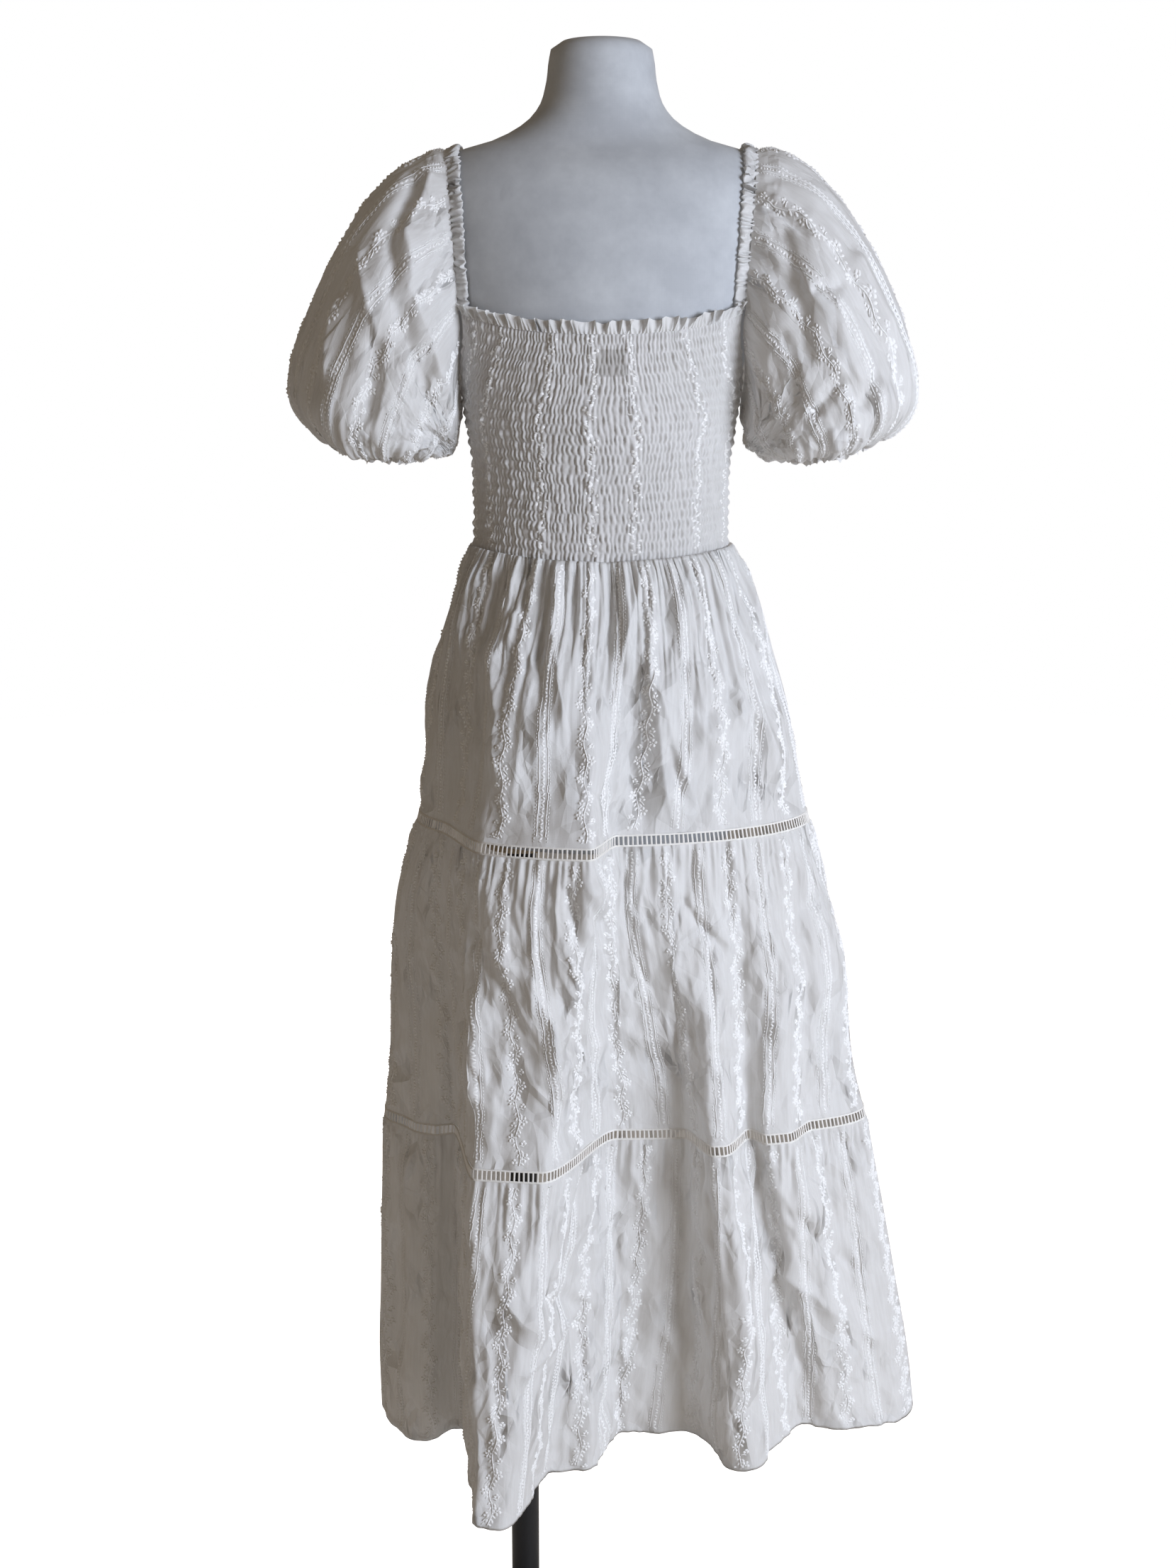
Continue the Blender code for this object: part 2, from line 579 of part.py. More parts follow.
def bodice_back():
    columns, rows = 2 * SMOCK_PLEATS, 2 * SMOCK_PUFFS
    z, angle = bodice_grid("back", columns, rows)
    pleat = (np.arange(columns + 1) % 2 == 1)[None, :]
    puff = (np.arange(rows + 1) % 2 == 1)[:, None]
    peak = np.where(puff, SMOCK_PEAK, SMOCK_THREAD)
    stand_off = np.where(pleat, peak, SMOCK_VALLEY)
    outer = trim_side_seams(body_point(z, angle, stand_off), "back")
    z, angle = bodice_grid("back", SMOCK_INSIDE_COLUMNS, SMOCK_INSIDE_ROWS)
    inner = trim_side_seams(body_point(z, angle, np.full_like(z, SMOCK_INSIDE)), "back")
    return wall("bodice_back", outer, inner, SMOCKED)


def bodice_front():
    z, angle = bodice_grid("front", FRONT_COLUMNS, FRONT_ROWS)
    outer = trim_side_seams(body_point(z, angle, np.full_like(z, FORM_GAP + CLOTH)), "front")
    inner = trim_side_seams(body_point(z, angle, np.full_like(z, FORM_GAP)), "front")
    return wall("bodice_front", outer, inner, COTTON)


def neck_ruffle():
    columns = 4 * RUFFLE_WAVES
    across = np.linspace(-RUFFLE_REACH, RUFFLE_REACH, columns + 1)
    top = BACK_TOP_MIDDLE_Z + (BACK_TOP_CORNER_Z - BACK_TOP_MIDDLE_Z) * np.abs(across) ** 2.2
    half_angle = math.pi / 2 - math.radians(BACK_CORNER_TURN)
    angle = 1.5 * math.pi + across * half_angle
    run = np.arange(columns + 1) / 4
    lean = uneven(RUFFLE_WAVES + 1, 0.25, 3.0)[np.round(run).astype(int)]
    wave = np.sin(2 * math.pi * run) * lean
    rows_outer, rows_inner = [], []
    edge, foot = (1.0, RUFFLE_EDGE_OFF, RUFFLE_EDGE_WAVE), (0.0, RUFFLE_FOOT_OFF, RUFFLE_FOOT_WAVE)
    for rise, stand_off, size in (edge, foot):
        height = top + SEAM + RUFFLE_HEIGHT * rise * (1 + 0.10 * np.cos(2 * math.pi * run + 1.0))
        rows_outer.append(body_point(height, angle, stand_off + size * wave))
        rows_inner.append(body_point(height, angle, stand_off + size * wave - RUFFLE_WALL))
    return wall("neck_ruffle", np.array(rows_outer), np.array(rows_inner), COTTON)


def turned(name, rings, sides, x, y, material):
    """A round piece from rings of radius and height, closed at both ends."""
    angle = np.arange(sides) / sides * 2 * math.pi
    points = [(x + r * math.cos(a), y + r * math.sin(a), z) for r, z in rings for a in angle]
    numbers = np.arange(len(points)).reshape(len(rings), sides)
    faces = []
    for lower, upper in zip(numbers[:-1], numbers[1:]):
        for k in range(sides):
            faces.append((lower[k], lower[(k + 1) % sides], upper[(k + 1) % sides], upper[k]))
    faces.append(tuple(numbers[0][::-1]))
    faces.append(tuple(numbers[-1]))
    return add_object(name, points, faces, material)


def dress_form():
    angle = np.arange(FORM_AROUND) / FORM_AROUND * 2 * math.pi
    rings = [body_point(np.full(FORM_AROUND, z), angle, 0) for z in FORM["z"]]
    points = np.vstack(rings)
    numbers = np.arange(len(points)).reshape(len(rings), FORM_AROUND)
    faces = []
    for lower, upper in zip(numbers[:-1], numbers[1:]):
        for k in range(FORM_AROUND):
            following = (k + 1) % FORM_AROUND
            faces.append((lower[k], lower[following], upper[following]))
            faces.append((lower[k], upper[following], upper[k]))
    faces.append(tuple(numbers[0][::-1]))
    faces.append(tuple(numbers[-1]))
    return add_object("dress_form", points, faces, CANVAS)


for old in list(bpy.data.objects):
    bpy.data.objects.remove(old)

materials = {}
MATERIALS = (COTTON, SMOCKED, LADDER_LACE, CANVAS, BLACK_PAINT, PALE_BOARD)
for material_name, colour, roughness, metallic in MATERIALS:
    made = bpy.data.materials.new(material_name)
    made.use_nodes = True
    shader = made.node_tree.nodes["Principled BSDF"]
    shader.inputs["Base Color"].default_value = (*colour, 1)
    shader.inputs["Roughness"].default_value = roughness
    shader.inputs["Metallic"].default_value = metallic
    materials[material_name] = made

for name, side, top, bottom, gathers, columns, rows, top_wave, bottom_wave in TIERS:
    points, out = skirt_grid(name, side, top, bottom, columns, rows, gathers, top_wave, bottom_wave)
    wall(name, points, points - out * CLOTH, COTTON)

for name, side, middle, columns in LADDERS:
    top, bottom = middle + LADDER_HEIGHT / 2, middle - LADDER_HEIGHT / 2
    points, out = skirt_grid(name, side, top, bottom, columns, 1, LADDER_WAVES, 0.0, 0.0)
    wall(name, points, points - out * LADDER_WALL, LADDER_LACE)

bodice_back()
bodice_front()
neck_ruffle()
for side in ("left", "right"):
    casing("casing_" + side, side)
    sleeve_and_cuff(side)

dress_form()
form_foot = FORM_SECTIONS[0][0]
collar_rings = ((COLLAR_RADIUS, form_foot - SEAM - COLLAR_HEIGHT), (COLLAR_RADIUS, form_foot - SEAM))
turned("form_collar", collar_rings, POLE_SIDES, POLE_X, 0, PALE_BOARD)
pole_rings = ((POLE_RADIUS, BASE_HEIGHT + SEAM), (POLE_RADIUS, form_foot - COLLAR_HEIGHT - 2 * SEAM))
turned("form_pole", pole_rings, POLE_SIDES, POLE_X, 0, BLACK_PAINT)
base_rings = (
    (BASE_RADIUS, 0.0),
    (BASE_RADIUS, BASE_HEIGHT - BASE_EDGE),
    (BASE_RADIUS - BASE_EDGE, BASE_HEIGHT),
)
turned("form_base", base_rings, BASE_SIDES, POLE_X, 0, BLACK_PAINT)
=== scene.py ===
"""Off-white cotton peasant dress on a limbless dress form, its smocked back towards the camera."""
import math
import bpy
import numpy as np
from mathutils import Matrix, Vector


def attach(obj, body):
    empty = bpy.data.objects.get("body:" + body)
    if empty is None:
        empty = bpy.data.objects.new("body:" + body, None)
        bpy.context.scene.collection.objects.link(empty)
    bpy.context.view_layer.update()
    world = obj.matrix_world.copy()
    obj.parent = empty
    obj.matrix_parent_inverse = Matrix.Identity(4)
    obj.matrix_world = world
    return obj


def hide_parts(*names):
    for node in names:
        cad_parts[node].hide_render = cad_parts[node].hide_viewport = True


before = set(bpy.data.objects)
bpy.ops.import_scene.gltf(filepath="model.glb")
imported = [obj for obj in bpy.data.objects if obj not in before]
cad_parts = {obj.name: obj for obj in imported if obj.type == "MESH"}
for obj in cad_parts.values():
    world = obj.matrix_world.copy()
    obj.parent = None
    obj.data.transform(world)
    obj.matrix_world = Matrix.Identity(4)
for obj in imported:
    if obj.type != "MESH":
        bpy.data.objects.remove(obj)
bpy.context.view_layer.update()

# Sizes in metres and turns in degrees, as the solids have them. Heights are above the floor.
BODY_X = -0.001
WAIST_Z = 1.2165
WAIST_DIP = 0.0105
LADDER_1_Z = 0.950
LADDER_2_Z = 0.642
HEM_Z = 0.318
LADDER_HEIGHT = 0.0115
UNDERARM_Z = 1.336
BACK_TOP_MIDDLE_Z = 1.4125
BACK_TOP_CORNER_Z = 1.4330
FRONT_TOP_MIDDLE_Z = 1.4300
FRONT_TOP_CORNER_Z = 1.4400
BACK_CORNER_TURN = 30.0
FRONT_CORNER_TURN = 31.0
SHOULDER_Z = 1.5768
SHOULDER_X = 0.1405
POLE_X = -0.080

# The dress form, a row per section: height, half width, depth behind, depth in front
FORM_SECTIONS = (
    (0.930, 0.126, 0.096, 0.084),
    (0.965, 0.137, 0.104, 0.092),
    (1.010, 0.144, 0.110, 0.098),
    (1.050, 0.145, 0.110, 0.100),
    (1.100, 0.139, 0.104, 0.097),
    (1.150, 0.128, 0.094, 0.091),
    (1.185, 0.120, 0.086, 0.087),
    (1.215, 0.1180, 0.083, 0.086),
    (1.255, 0.1175, 0.083, 0.090),
    (1.295, 0.1190, 0.087, 0.099),
    (1.335, 0.1250, 0.092, 0.112),
    (1.375, 0.1330, 0.096, 0.121),
    (1.405, 0.1400, 0.098, 0.121),
    (1.435, 0.1480, 0.099, 0.114),
    (1.470, 0.1570, 0.098, 0.103),
    (1.510, 0.1650, 0.092, 0.090),
    (1.545, 0.1670, 0.081, 0.073),
    (1.565, 0.1570, 0.070, 0.063),
    (1.577, 0.1420, 0.061, 0.056),
    (1.587, 0.1060, 0.056, 0.053),
    (1.602, 0.0750, 0.053, 0.052),
    (1.618, 0.0590, 0.051, 0.051),
    (1.640, 0.0515, 0.049, 0.049),
    (1.664, 0.0480, 0.047, 0.047),
    (1.673, 0.0440, 0.043, 0.043),
    (1.676, 0.0370, 0.036, 0.036),
)

# The skirt, a row per section: height, reach left and right, depth behind and in front without folds, power
SKIRT_SECTIONS = (
    (1.218, 0.1265, 0.1250, 0.0900, 0.0930, 2.0),
    (1.194, 0.1340, 0.1370, 0.0970, 0.1010, 2.0),
    (1.159, 0.1450, 0.1500, 0.1060, 0.1110, 2.0),
    (1.124, 0.1570, 0.1620, 0.1140, 0.1210, 2.0),
    (1.090, 0.1650, 0.1720, 0.1200, 0.1300, 2.0),
    (1.055, 0.1705, 0.1820, 0.1240, 0.1380, 2.0),
    (0.984, 0.1750, 0.1960, 0.1270, 0.1520, 1.9),
    (0.950, 0.1810, 0.2040, 0.1270, 0.1600, 1.9),
    (0.876, 0.2030, 0.2240, 0.1170, 0.1750, 1.9),
    (0.803, 0.2100, 0.2420, 0.1000, 0.1880, 2.0),
    (0.691, 0.2150, 0.2560, 0.0790, 0.2040, 2.1),
    (0.642, 0.2200, 0.2680, 0.0720, 0.2100, 2.1),
    (0.538, 0.2255, 0.2900, 0.0650, 0.2220, 2.2),
    (0.460, 0.2280, 0.3050, 0.0610, 0.2310, 2.2),
    (0.381, 0.2310, 0.3200, 0.0580, 0.2400, 2.2),
    (0.318, 0.2300, 0.3280, 0.0560, 0.2450, 2.2),
)

# The big folds, a row per fold and height: side, fold, height, then the x of the left foot, the left top,
# the right top and the right foot, and how far the fold stands out
FOLDS = (
    ("back", "sweep", 1.160, -0.100, -0.060, -0.020, 0.020, 0.000),
    ("back", "sweep", 0.950, -0.158, -0.110, -0.012, 0.014, 0.060),
    ("back", "sweep", 0.642, -0.148, -0.120, -0.058, 0.016, 0.105),
    ("back", "sweep", 0.318, -0.143, -0.116, -0.098, -0.046, 0.120),
    ("back", "ledge", 0.700, -0.140, -0.118, -0.030, 0.016, 0.000),
    ("back", "ledge", 0.318, -0.142, -0.118, -0.008, 0.020, 0.065),
    ("back", "left_edge", 0.800, -0.190, -0.170, -0.160, -0.140, 0.000),
    ("back", "left_edge", 0.318, -0.226, -0.200, -0.180, -0.150, 0.034),
    ("back", "ridge", 0.900, 0.060, 0.090, 0.100, 0.130, 0.000),
    ("back", "ridge", 0.642, 0.080, 0.108, 0.117, 0.152, 0.052),
    ("back", "ridge", 0.318, 0.085, 0.134, 0.150, 0.206, 0.074),
    ("back", "right_edge", 0.950, 0.120, 0.150, 0.160, 0.190, 0.000),
    ("back", "right_edge", 0.642, 0.140, 0.162, 0.182, 0.210, 0.028),
    ("back", "right_edge", 0.318, 0.215, 0.245, 0.262, 0.300, 0.016),
    ("front", "first", 1.100, -0.150, -0.110, -0.100, -0.060, 0.000),
    ("front", "first", 0.318, -0.200, -0.150, -0.130, -0.080, 0.046),
    ("front", "second", 1.100, -0.050, -0.020, -0.010, 0.030, 0.004),
    ("front", "second", 0.318, -0.070, -0.030, -0.005, 0.030, 0.038),
    ("front", "third", 1.000, 0.040, 0.070, 0.080, 0.110, 0.000),
    ("front", "third", 0.318, 0.050, 0.090, 0.115, 0.150, 0.050),
    ("front", "fourth", 0.900, 0.110, 0.135, 0.145, 0.170, 0.000),
    ("front", "fourth", 0.318, 0.175, 0.205, 0.225, 0.270, 0.036),
)
# How far the hem hangs below its level behind: x, drop
HEM_DROPS = (
    (-0.230, 0.000), (-0.195, 0.006), (-0.150, 0.004), (-0.110, 0.002), (-0.045, 0.011), (0.000, 0.009),
    (0.020, 0.003), (0.090, 0.003), (0.125, 0.008), (0.175, 0.002), (0.205, -0.003), (0.250, -0.003),
    (0.305, 0.009), (0.328, 0.006),
)

# The puff sleeve, a row per ring: outer point's x and z, underarm point's x and z, half depth, power, sag
SLEEVE_RINGS = (
    (0.1660, 1.5785, 0.1385, 1.3240, 0.078, 2.3, 0.000),
    (0.1990, 1.5590, 0.1390, 1.3130, 0.090, 2.2, 0.000),
    (0.2370, 1.5110, 0.1410, 1.3080, 0.098, 2.1, 0.000),
    (0.2660, 1.4580, 0.1440, 1.3040, 0.100, 2.0, 0.001),
    (0.2880, 1.4020, 0.1490, 1.3010, 0.098, 2.0, 0.003),
    (0.2950, 1.3620, 0.1560, 1.2985, 0.092, 2.0, 0.006),
    (0.2850, 1.3380, 0.1640, 1.2980, 0.079, 2.0, 0.010),
    (0.2650, 1.3230, 0.1720, 1.3000, 0.064, 2.0, 0.012),
    (0.2500, 1.3220, 0.1790, 1.3070, 0.046, 2.0, 0.007),
)
# How far each sleeve's outer points reach, as a share of the table's
SLEEVE_REACH = {"left": 0.990, "right": 1.016}

# A small step between the back's cloth and the front's at the side seams, so that they never share a place
SEAM_SHIFT = {"back": -0.00015, "front": 0.00015}


def smooth(t):
    """Eases from 0 to 1 as t does, level at both ends."""
    t = np.clip(t, 0.0, 1.0)
    return t * t * (3 - 2 * t)


def unit(vectors):
    """Vectors cut to a length of one."""
    return vectors / np.maximum(np.linalg.norm(vectors, axis=-1, keepdims=True), 1e-12)


def curve_through(stations, values, place):
    """A smooth curve through a table's rows, level where they turn back, read at any places."""
    stations, values = np.asarray(stations, float), np.asarray(values, float)
    order = np.argsort(stations)
    stations, values = stations[order], values[order]
    step = np.diff(stations).reshape((-1,) + (1,) * (values.ndim - 1))
    slope = np.diff(values, axis=0) / step
    middle = np.where(slope[:-1] * slope[1:] <= 0, 0, (slope[:-1] + slope[1:]) / 2)
    tangent = np.concatenate([slope[:1], middle, slope[-1:]])
    place = np.clip(place, stations[0], stations[-1])
    k = np.clip(np.searchsorted(stations, place, side="right") - 1, 0, len(step) - 1)
    t = (place - stations[k]) / np.diff(stations)[k]
    t = t.reshape(t.shape + (1,) * (values.ndim - 1))
    length = step[k].reshape(t.shape) if values.ndim == 1 else step[k]
    a, b = 2 * t**3 - 3 * t**2 + 1, t**3 - 2 * t**2 + t
    c, d = 3 * t**2 - 2 * t**3, t**3 - t**2
    return a * values[k] + b * length * tangent[k] + c * values[k + 1] + d * length * tangent[k + 1]


def blur(x, y, seed):
    """Smooth random heights between -1 and 1 on a unit net, the same each run."""
    net = np.random.RandomState(seed).uniform(-1, 1, (128, 128))
    column, row = np.floor(x).astype(int), np.floor(y).astype(int)
    u, w = smooth(x - column), smooth(y - row)
    i, j, k, m = column % 128, row % 128, (column + 1) % 128, (row + 1) % 128
    return (net[i, j] * (1 - u) + net[k, j] * u) * (1 - w) + (net[i, m] * (1 - u) + net[k, m] * u) * w


def facets(x, y, seed):
    """Random heights between -1 and 1 joined by flat triangles, as crushed cloth has."""
    net = np.random.RandomState(seed).uniform(-1, 1, (128, 128))
    x, y = x + 0.45 * blur(0.6 * x, 0.6 * y, seed + 1), y + 0.45 * blur(0.6 * x + 9, 0.6 * y, seed + 2)
    column, row = np.floor(x).astype(int), np.floor(y).astype(int)
    u, w = x - column, y - row
    i, j, k, m = column % 128, row % 128, (column + 1) % 128, (row + 1) % 128
    a, b, c, d = net[i, j], net[k, j], net[i, m], net[k, m]
    falling = np.where(u > w, a + (b - a) * u + (d - b) * w, a + (d - c) * u + (c - a) * w)
    rising = np.where(u + w < 1, a + (b - a) * u + (c - a) * w, d + (c - d) * (1 - u) + (b - d) * (1 - w))
    return np.where((column + row) % 2 == 0, falling, rising)


def skirt_xy(z, angle):
    """The skirt's outside at a height and an angle, with its big folds."""
    heights = [row[0] for row in SKIRT_SECTIONS]
    left, right, back, front, power = (
        curve_through(heights, [row[k] for row in SKIRT_SECTIONS], z) for k in range(1, 6)
    )
    across, along = np.cos(angle), np.sin(angle)
    half = np.where(across < 0, left, right)
    x = half * np.sign(across) * np.abs(across) ** (2 / power)
    y = np.where(along < 0, back, front) * np.sign(along) * np.abs(along) ** (2 / power)
    for side, fold in sorted({(row[0], row[1]) for row in FOLDS}):
        rows = sorted(row[2:] for row in FOLDS if row[:2] == (side, fold))
        level = [row[0] for row in rows]
        left_foot, left_top, right_top, right_foot, rise = (
            np.interp(z, level, [row[k] for row in rows]) for k in range(1, 6)
        )
        lift = smooth((x - left_foot) / (left_top - left_foot))
        lift = lift * smooth((right_foot - x) / (right_foot - right_top))
        if side == "back":
            y = y - np.where(along < 0, rise * lift, 0)
        else:
            y = y + np.where(along > 0, rise * lift, 0)
    return x, y


def waist_drop(angle):
    """How far the waist seam hangs below its sides, behind only."""
    return WAIST_DIP * np.clip(-np.sin(angle), 0, 1) ** 2


def hem_drop(angle):
    """How far the hem hangs below its level, behind only."""
    x, _ = skirt_xy(np.full_like(angle, HEM_Z), angle)
    where, drop = (np.array(column) for column in zip(*HEM_DROPS))
    return np.interp(x, where, drop) * smooth(-np.sin(angle) * 4)


def side_angles(side, count, top, bottom):
    """Angles at even steps of the cloth's width, as an average of the panel's top and bottom."""
    start = math.pi if side == "back" else 0.0
    angle = start + np.linspace(0, math.pi, 1441)
    length = np.zeros_like(angle)
    for z in np.linspace(bottom, top, 4):
        x, y = skirt_xy(np.full_like(angle, z), angle)
        length[1:] += np.cumsum(np.hypot(np.diff(x), np.diff(y)))
    return np.interp(np.linspace(0, length[-1], count + 1), length, angle)


def outward(points, closed=False):
    """Outward directions of a grid of points whose rows run down the piece."""
    if closed:
        around = np.roll(points, -1, axis=1) - np.roll(points, 1, axis=1)
    else:
        around = np.gradient(points, axis=1)
    return unit(np.cross(np.gradient(points, axis=0), around))


def widths(points, closed=False):
    """How long each row of a grid is."""
    if closed:
        points = np.concatenate([points, points[:, :1]], axis=1)
    return np.linalg.norm(np.diff(points, axis=1), axis=-1).sum(axis=1)


def cut_size(points, closed=False):
    """The flat width and length of the cloth in a grid of points."""
    return widths(points, closed).max(), np.linalg.norm(np.diff(points, axis=0), axis=-1).sum(axis=0).mean()


def add_mesh(name, points, faces, material, flat=None):
    """A smooth-shaded mesh. Its UV, where given, is each face corner's place on the flat cloth in metres."""
    faces = np.asarray(faces, np.int32)
    mesh = bpy.data.meshes.new(name)
    mesh.vertices.add(len(points))
    mesh.vertices.foreach_set("co", np.asarray(points, np.float32).ravel())
    mesh.loops.add(faces.size)
    mesh.loops.foreach_set("vertex_index", faces.ravel())
    mesh.polygons.add(len(faces))
    mesh.polygons.foreach_set("loop_start", np.arange(0, faces.size, faces.shape[1], dtype=np.int32))
    mesh.update(calc_edges=True)
    if flat is not None:
        layer = mesh.uv_layers.new(name="flat_cloth")
        layer.data.foreach_set("uv", np.asarray(flat, np.float32).ravel())
    mesh.shade_smooth()
    mesh.materials.append(material)
    piece = bpy.data.objects.new(name, mesh)
    bpy.context.collection.objects.link(piece)
    return piece


def cells(numbers):
    """The corners of each cell in a grid of point numbers."""
    upper, lower = numbers[:-1], numbers[1:]
    return np.stack([upper[:, :-1], lower[:, :-1], lower[:, 1:], upper[:, 1:]], axis=-1).reshape(-1, 4)


def sheet_mesh(name, points, flat_size, material, closed=False, flip=False):
    """One layer of cloth from a grid of points whose rows run down it."""
    rows, columns = points.shape[:2]
    numbers = np.arange(rows * columns).reshape(rows, columns)
    if closed:
        numbers = np.hstack([numbers, numbers[:, :1]])
    s, t = np.meshgrid(np.linspace(0, flat_size[0], numbers.shape[1]), np.linspace(0, flat_size[1], rows))
    flat = np.stack([s, -t], axis=-1).reshape(-1, 2)
    faces, corners = cells(numbers), cells(np.arange(numbers.size).reshape(numbers.shape))
    if flip:
        faces, corners = faces[:, ::-1], corners[:, ::-1]
    return add_mesh(name, points.reshape(-1, 3), faces, material, flat[corners])


def worn(piece, slot, *nodes):
    """The piece rides on the one body and stands for its solids. Its slot is not used."""
    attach(piece, "root")
    if nodes:
        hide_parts(*nodes)
    return piece


# Gathers, crumples and creases

# Embroidered stripes lie this far apart, and the stitches of a vine and of a braid draw the cloth in this
# far to each side
STRIPE_PITCH = 0.040
STRIPE_REACH = (0.0105, 0.0078)
# Facets of crushed cloth: breadth, length and height of the large and of the small ones
LARGE_FACET = (0.024, 0.046, 0.0056)
SMALL_FACET = (0.0115, 0.020, 0.0030)
# How strongly the cloth keeps its threads' lengths, and its squareness
THREAD_STIFFNESS = 0.9
SHEAR_STIFFNESS = 0.03
# The listed creases stand this much higher than drawn, to read through the crumples
CREASE_GAIN = 1.3


def gathers(width, flat_width, across, down, families, seed):
    """How far gathered cloth stands out, from its fullness at each row, shared among families of folds.

    A family is a number of folds and its share of the fullness over the grid.
    """
    fullness = np.clip(flat_width / width - 1, 0, None)
    rise = np.zeros((len(width), len(across)))
    for k, (count, share) in enumerate(families):
        height = (width / count / math.pi)[:, None] * np.sqrt(fullness[:, None] * share)
        u, v = across[None, :] * count, down[:, None]
        run = u + 0.70 * blur(0.40 * u, 3 * v, seed + k) + 0.14 * blur(u, 9 * v, seed + k + 20)
        size = 1 + 0.6 * blur(run, 7 * v, seed + k + 10)
        rise += height * size * (np.cos(2 * math.pi * run) + 0.25 * np.cos(4 * math.pi * run + 0.7))
    return rise


def stripe_places(width):
    """Where embroidered stripes run down a panel of a width: vine and braid by turns."""
    count = max(int(width / STRIPE_PITCH), 2)
    return (np.arange(count) + 0.5) * width / count


def puckers(s, t, width, seed):
    """How cloth puckers under its embroidered stripes, whose stitches draw it in."""
    rise = 0
    for k, middle in enumerate(stripe_places(width)):
        near = np.exp(-(((s - middle) / STRIPE_REACH[k % 2]) ** 4))
        rise = rise + near * (0.00065 * blur(s / 0.0052, t / 0.0062, seed + 2 * k) + 0.0003)
    return rise


def crumples(s, t, seed, strength=1.0):
    """The flat facets and sharp creases of crushed cotton, large and small, stronger in some patches."""
    patch = 0.55 + 0.45 * smooth(0.5 + 1.2 * blur(s / 0.12, t / 0.14, seed))
    fine = 0.35 + 0.65 * smooth(0.5 + 1.6 * blur(s / 0.06, t / 0.07, seed + 7))
    broad, long, high = LARGE_FACET
    large = high * facets((s + 0.10 * t) / broad, (t - 0.4 * s) / long, seed + 1)
    broad, long, high = SMALL_FACET
    small = high * fine * facets((s - 0.25 * t) / broad, (t + 0.3 * s) / long, seed + 3)
    rise = patch * (large + small)
    return strength * rise + 0.00016 * blur(s / 0.0045, t / 0.030, seed + 5)


def links(base, flat_width):
    """The lengths that flat cloth keeps along its threads and, more weakly, across them.

    Each row pairs two slices of its grid that share no point.
    """
    rows, columns = base.shape[:2]
    wide = flat_width / (columns - 1)
    high = np.linalg.norm(np.diff(base, axis=0), axis=-1).sum(axis=0)[None, :] / (rows - 1)
    slant = np.hypot(wide, (high[:, :-1] + high[:, 1:]) / 2)
    every, found = slice(None), []
    for k in (0, 1):
        n = 2 * ((columns - k) // 2)
        left, right = slice(k, k + n, 2), slice(k + 1, k + 1 + n, 2)
        found.append(((every, left), (every, right), wide, THREAD_STIFFNESS))
    for k in (0, 1):
        n = 2 * ((rows - k) // 2)
        upper, lower = slice(k, k + n, 2), slice(k + 1, k + 1 + n, 2)
        found.append(((upper, every), (lower, every), high, THREAD_STIFFNESS))
        found.append(((upper, slice(0, -1)), (lower, slice(1, None)), slant, SHEAR_STIFFNESS))
        found.append(((upper, slice(1, None)), (lower, slice(0, -1)), slant, SHEAR_STIFFNESS))
    return found


def evened(points):
    """A grid with even steps along each row."""
    share = np.linspace(0, 1, points.shape[1])
    rows = []
    for row in points:
        along = np.concatenate([[0], np.cumsum(np.linalg.norm(np.diff(row, axis=0), axis=1))])
        rows.append(np.stack([np.interp(share * along[-1], along, row[:, k]) for k in range(3)], axis=1))
    return np.array(rows)


def settled(base, points, flat_width, held, turns=110, bend=0.25, reach=(-0.010, 0.008)):
    """Gathered cloth let slack until its threads keep their lengths.

    It stays still where it is held, bends smoothly, and keeps within a reach inside and outside its base.
    """
    free = 1.0 - held
    out = outward(base)
    pairs = links(base, flat_width)
    points = points.copy()
    for _ in range(turns):
        pull = np.zeros_like(points)
        beside = 0.65 * (points[1:-1, :-2] + points[1:-1, 2:])
        beside += 0.35 * (points[:-2, 1:-1] + points[2:, 1:-1])
        pull[1:-1, 1:-1] = beside / 2 - points[1:-1, 1:-1]
        pull[-1, 1:-1] = (points[-1, :-2] + points[-1, 2:]) / 2 - points[-1, 1:-1]
        points += bend * pull * free[..., None]
        for first, second, rest, stiffness in pairs:
            gap = points[second] - points[first]
            length = np.sqrt(np.einsum("ijk,ijk->ij", gap, gap)) + 1e-12
            share = stiffness * (length - rest) / length / np.maximum(free[first] + free[second], 1)
            points[first] += gap * (share * free[first])[..., None]
            points[second] -= gap * (share * free[second])[..., None]
        off = np.einsum("ijk,ijk->ij", points - base, out)
        points += out * ((np.clip(off, *reach) - off) * free * 0.5)[..., None]
    return points


def creased(points, out, creases):
    """Points moved out by a table of creases: each runs between two places seen from behind."""
    x, z = points[..., 0], points[..., 2]
    rise = np.zeros_like(x)
    for x0, z0, x1, z1, kind, breadth, height in creases:
        length = math.hypot(x1 - x0, z1 - z0)
        ax, az = (x1 - x0) / length, (z1 - z0) / length
        along = ((x - x0) * ax + (z - z0) * az) / length
        aside = (x - x0) * az - (z - z0) * ax
        bow = 0.10 * length * np.sin(np.clip(along, 0, 1) * math.pi * 1.3 + 40 * x0)
        aside = aside + 0.25 * bow
        taper = smooth(along / 0.18 + 0.6) * smooth((1 - along) / 0.30 + 0.4)
        taper = taper * (along > -0.2) * (along < 1.2)
        if kind == "trough":
            shape = -np.exp(-((aside / breadth) ** 2))
        elif kind == "ridge":
            shape = np.exp(-np.abs(aside / breadth) ** 1.1)
        else:
            side = 1 if kind == "left_edge" else -1
            beyond = np.clip(side * aside, 0, None)
            shape = smooth(0.5 + side * aside / breadth * 1.2) * np.exp(-beyond / (6 * breadth))
        rise = rise + CREASE_GAIN * height * shape * taper
    return points + out * rise[..., None]


# The skirt

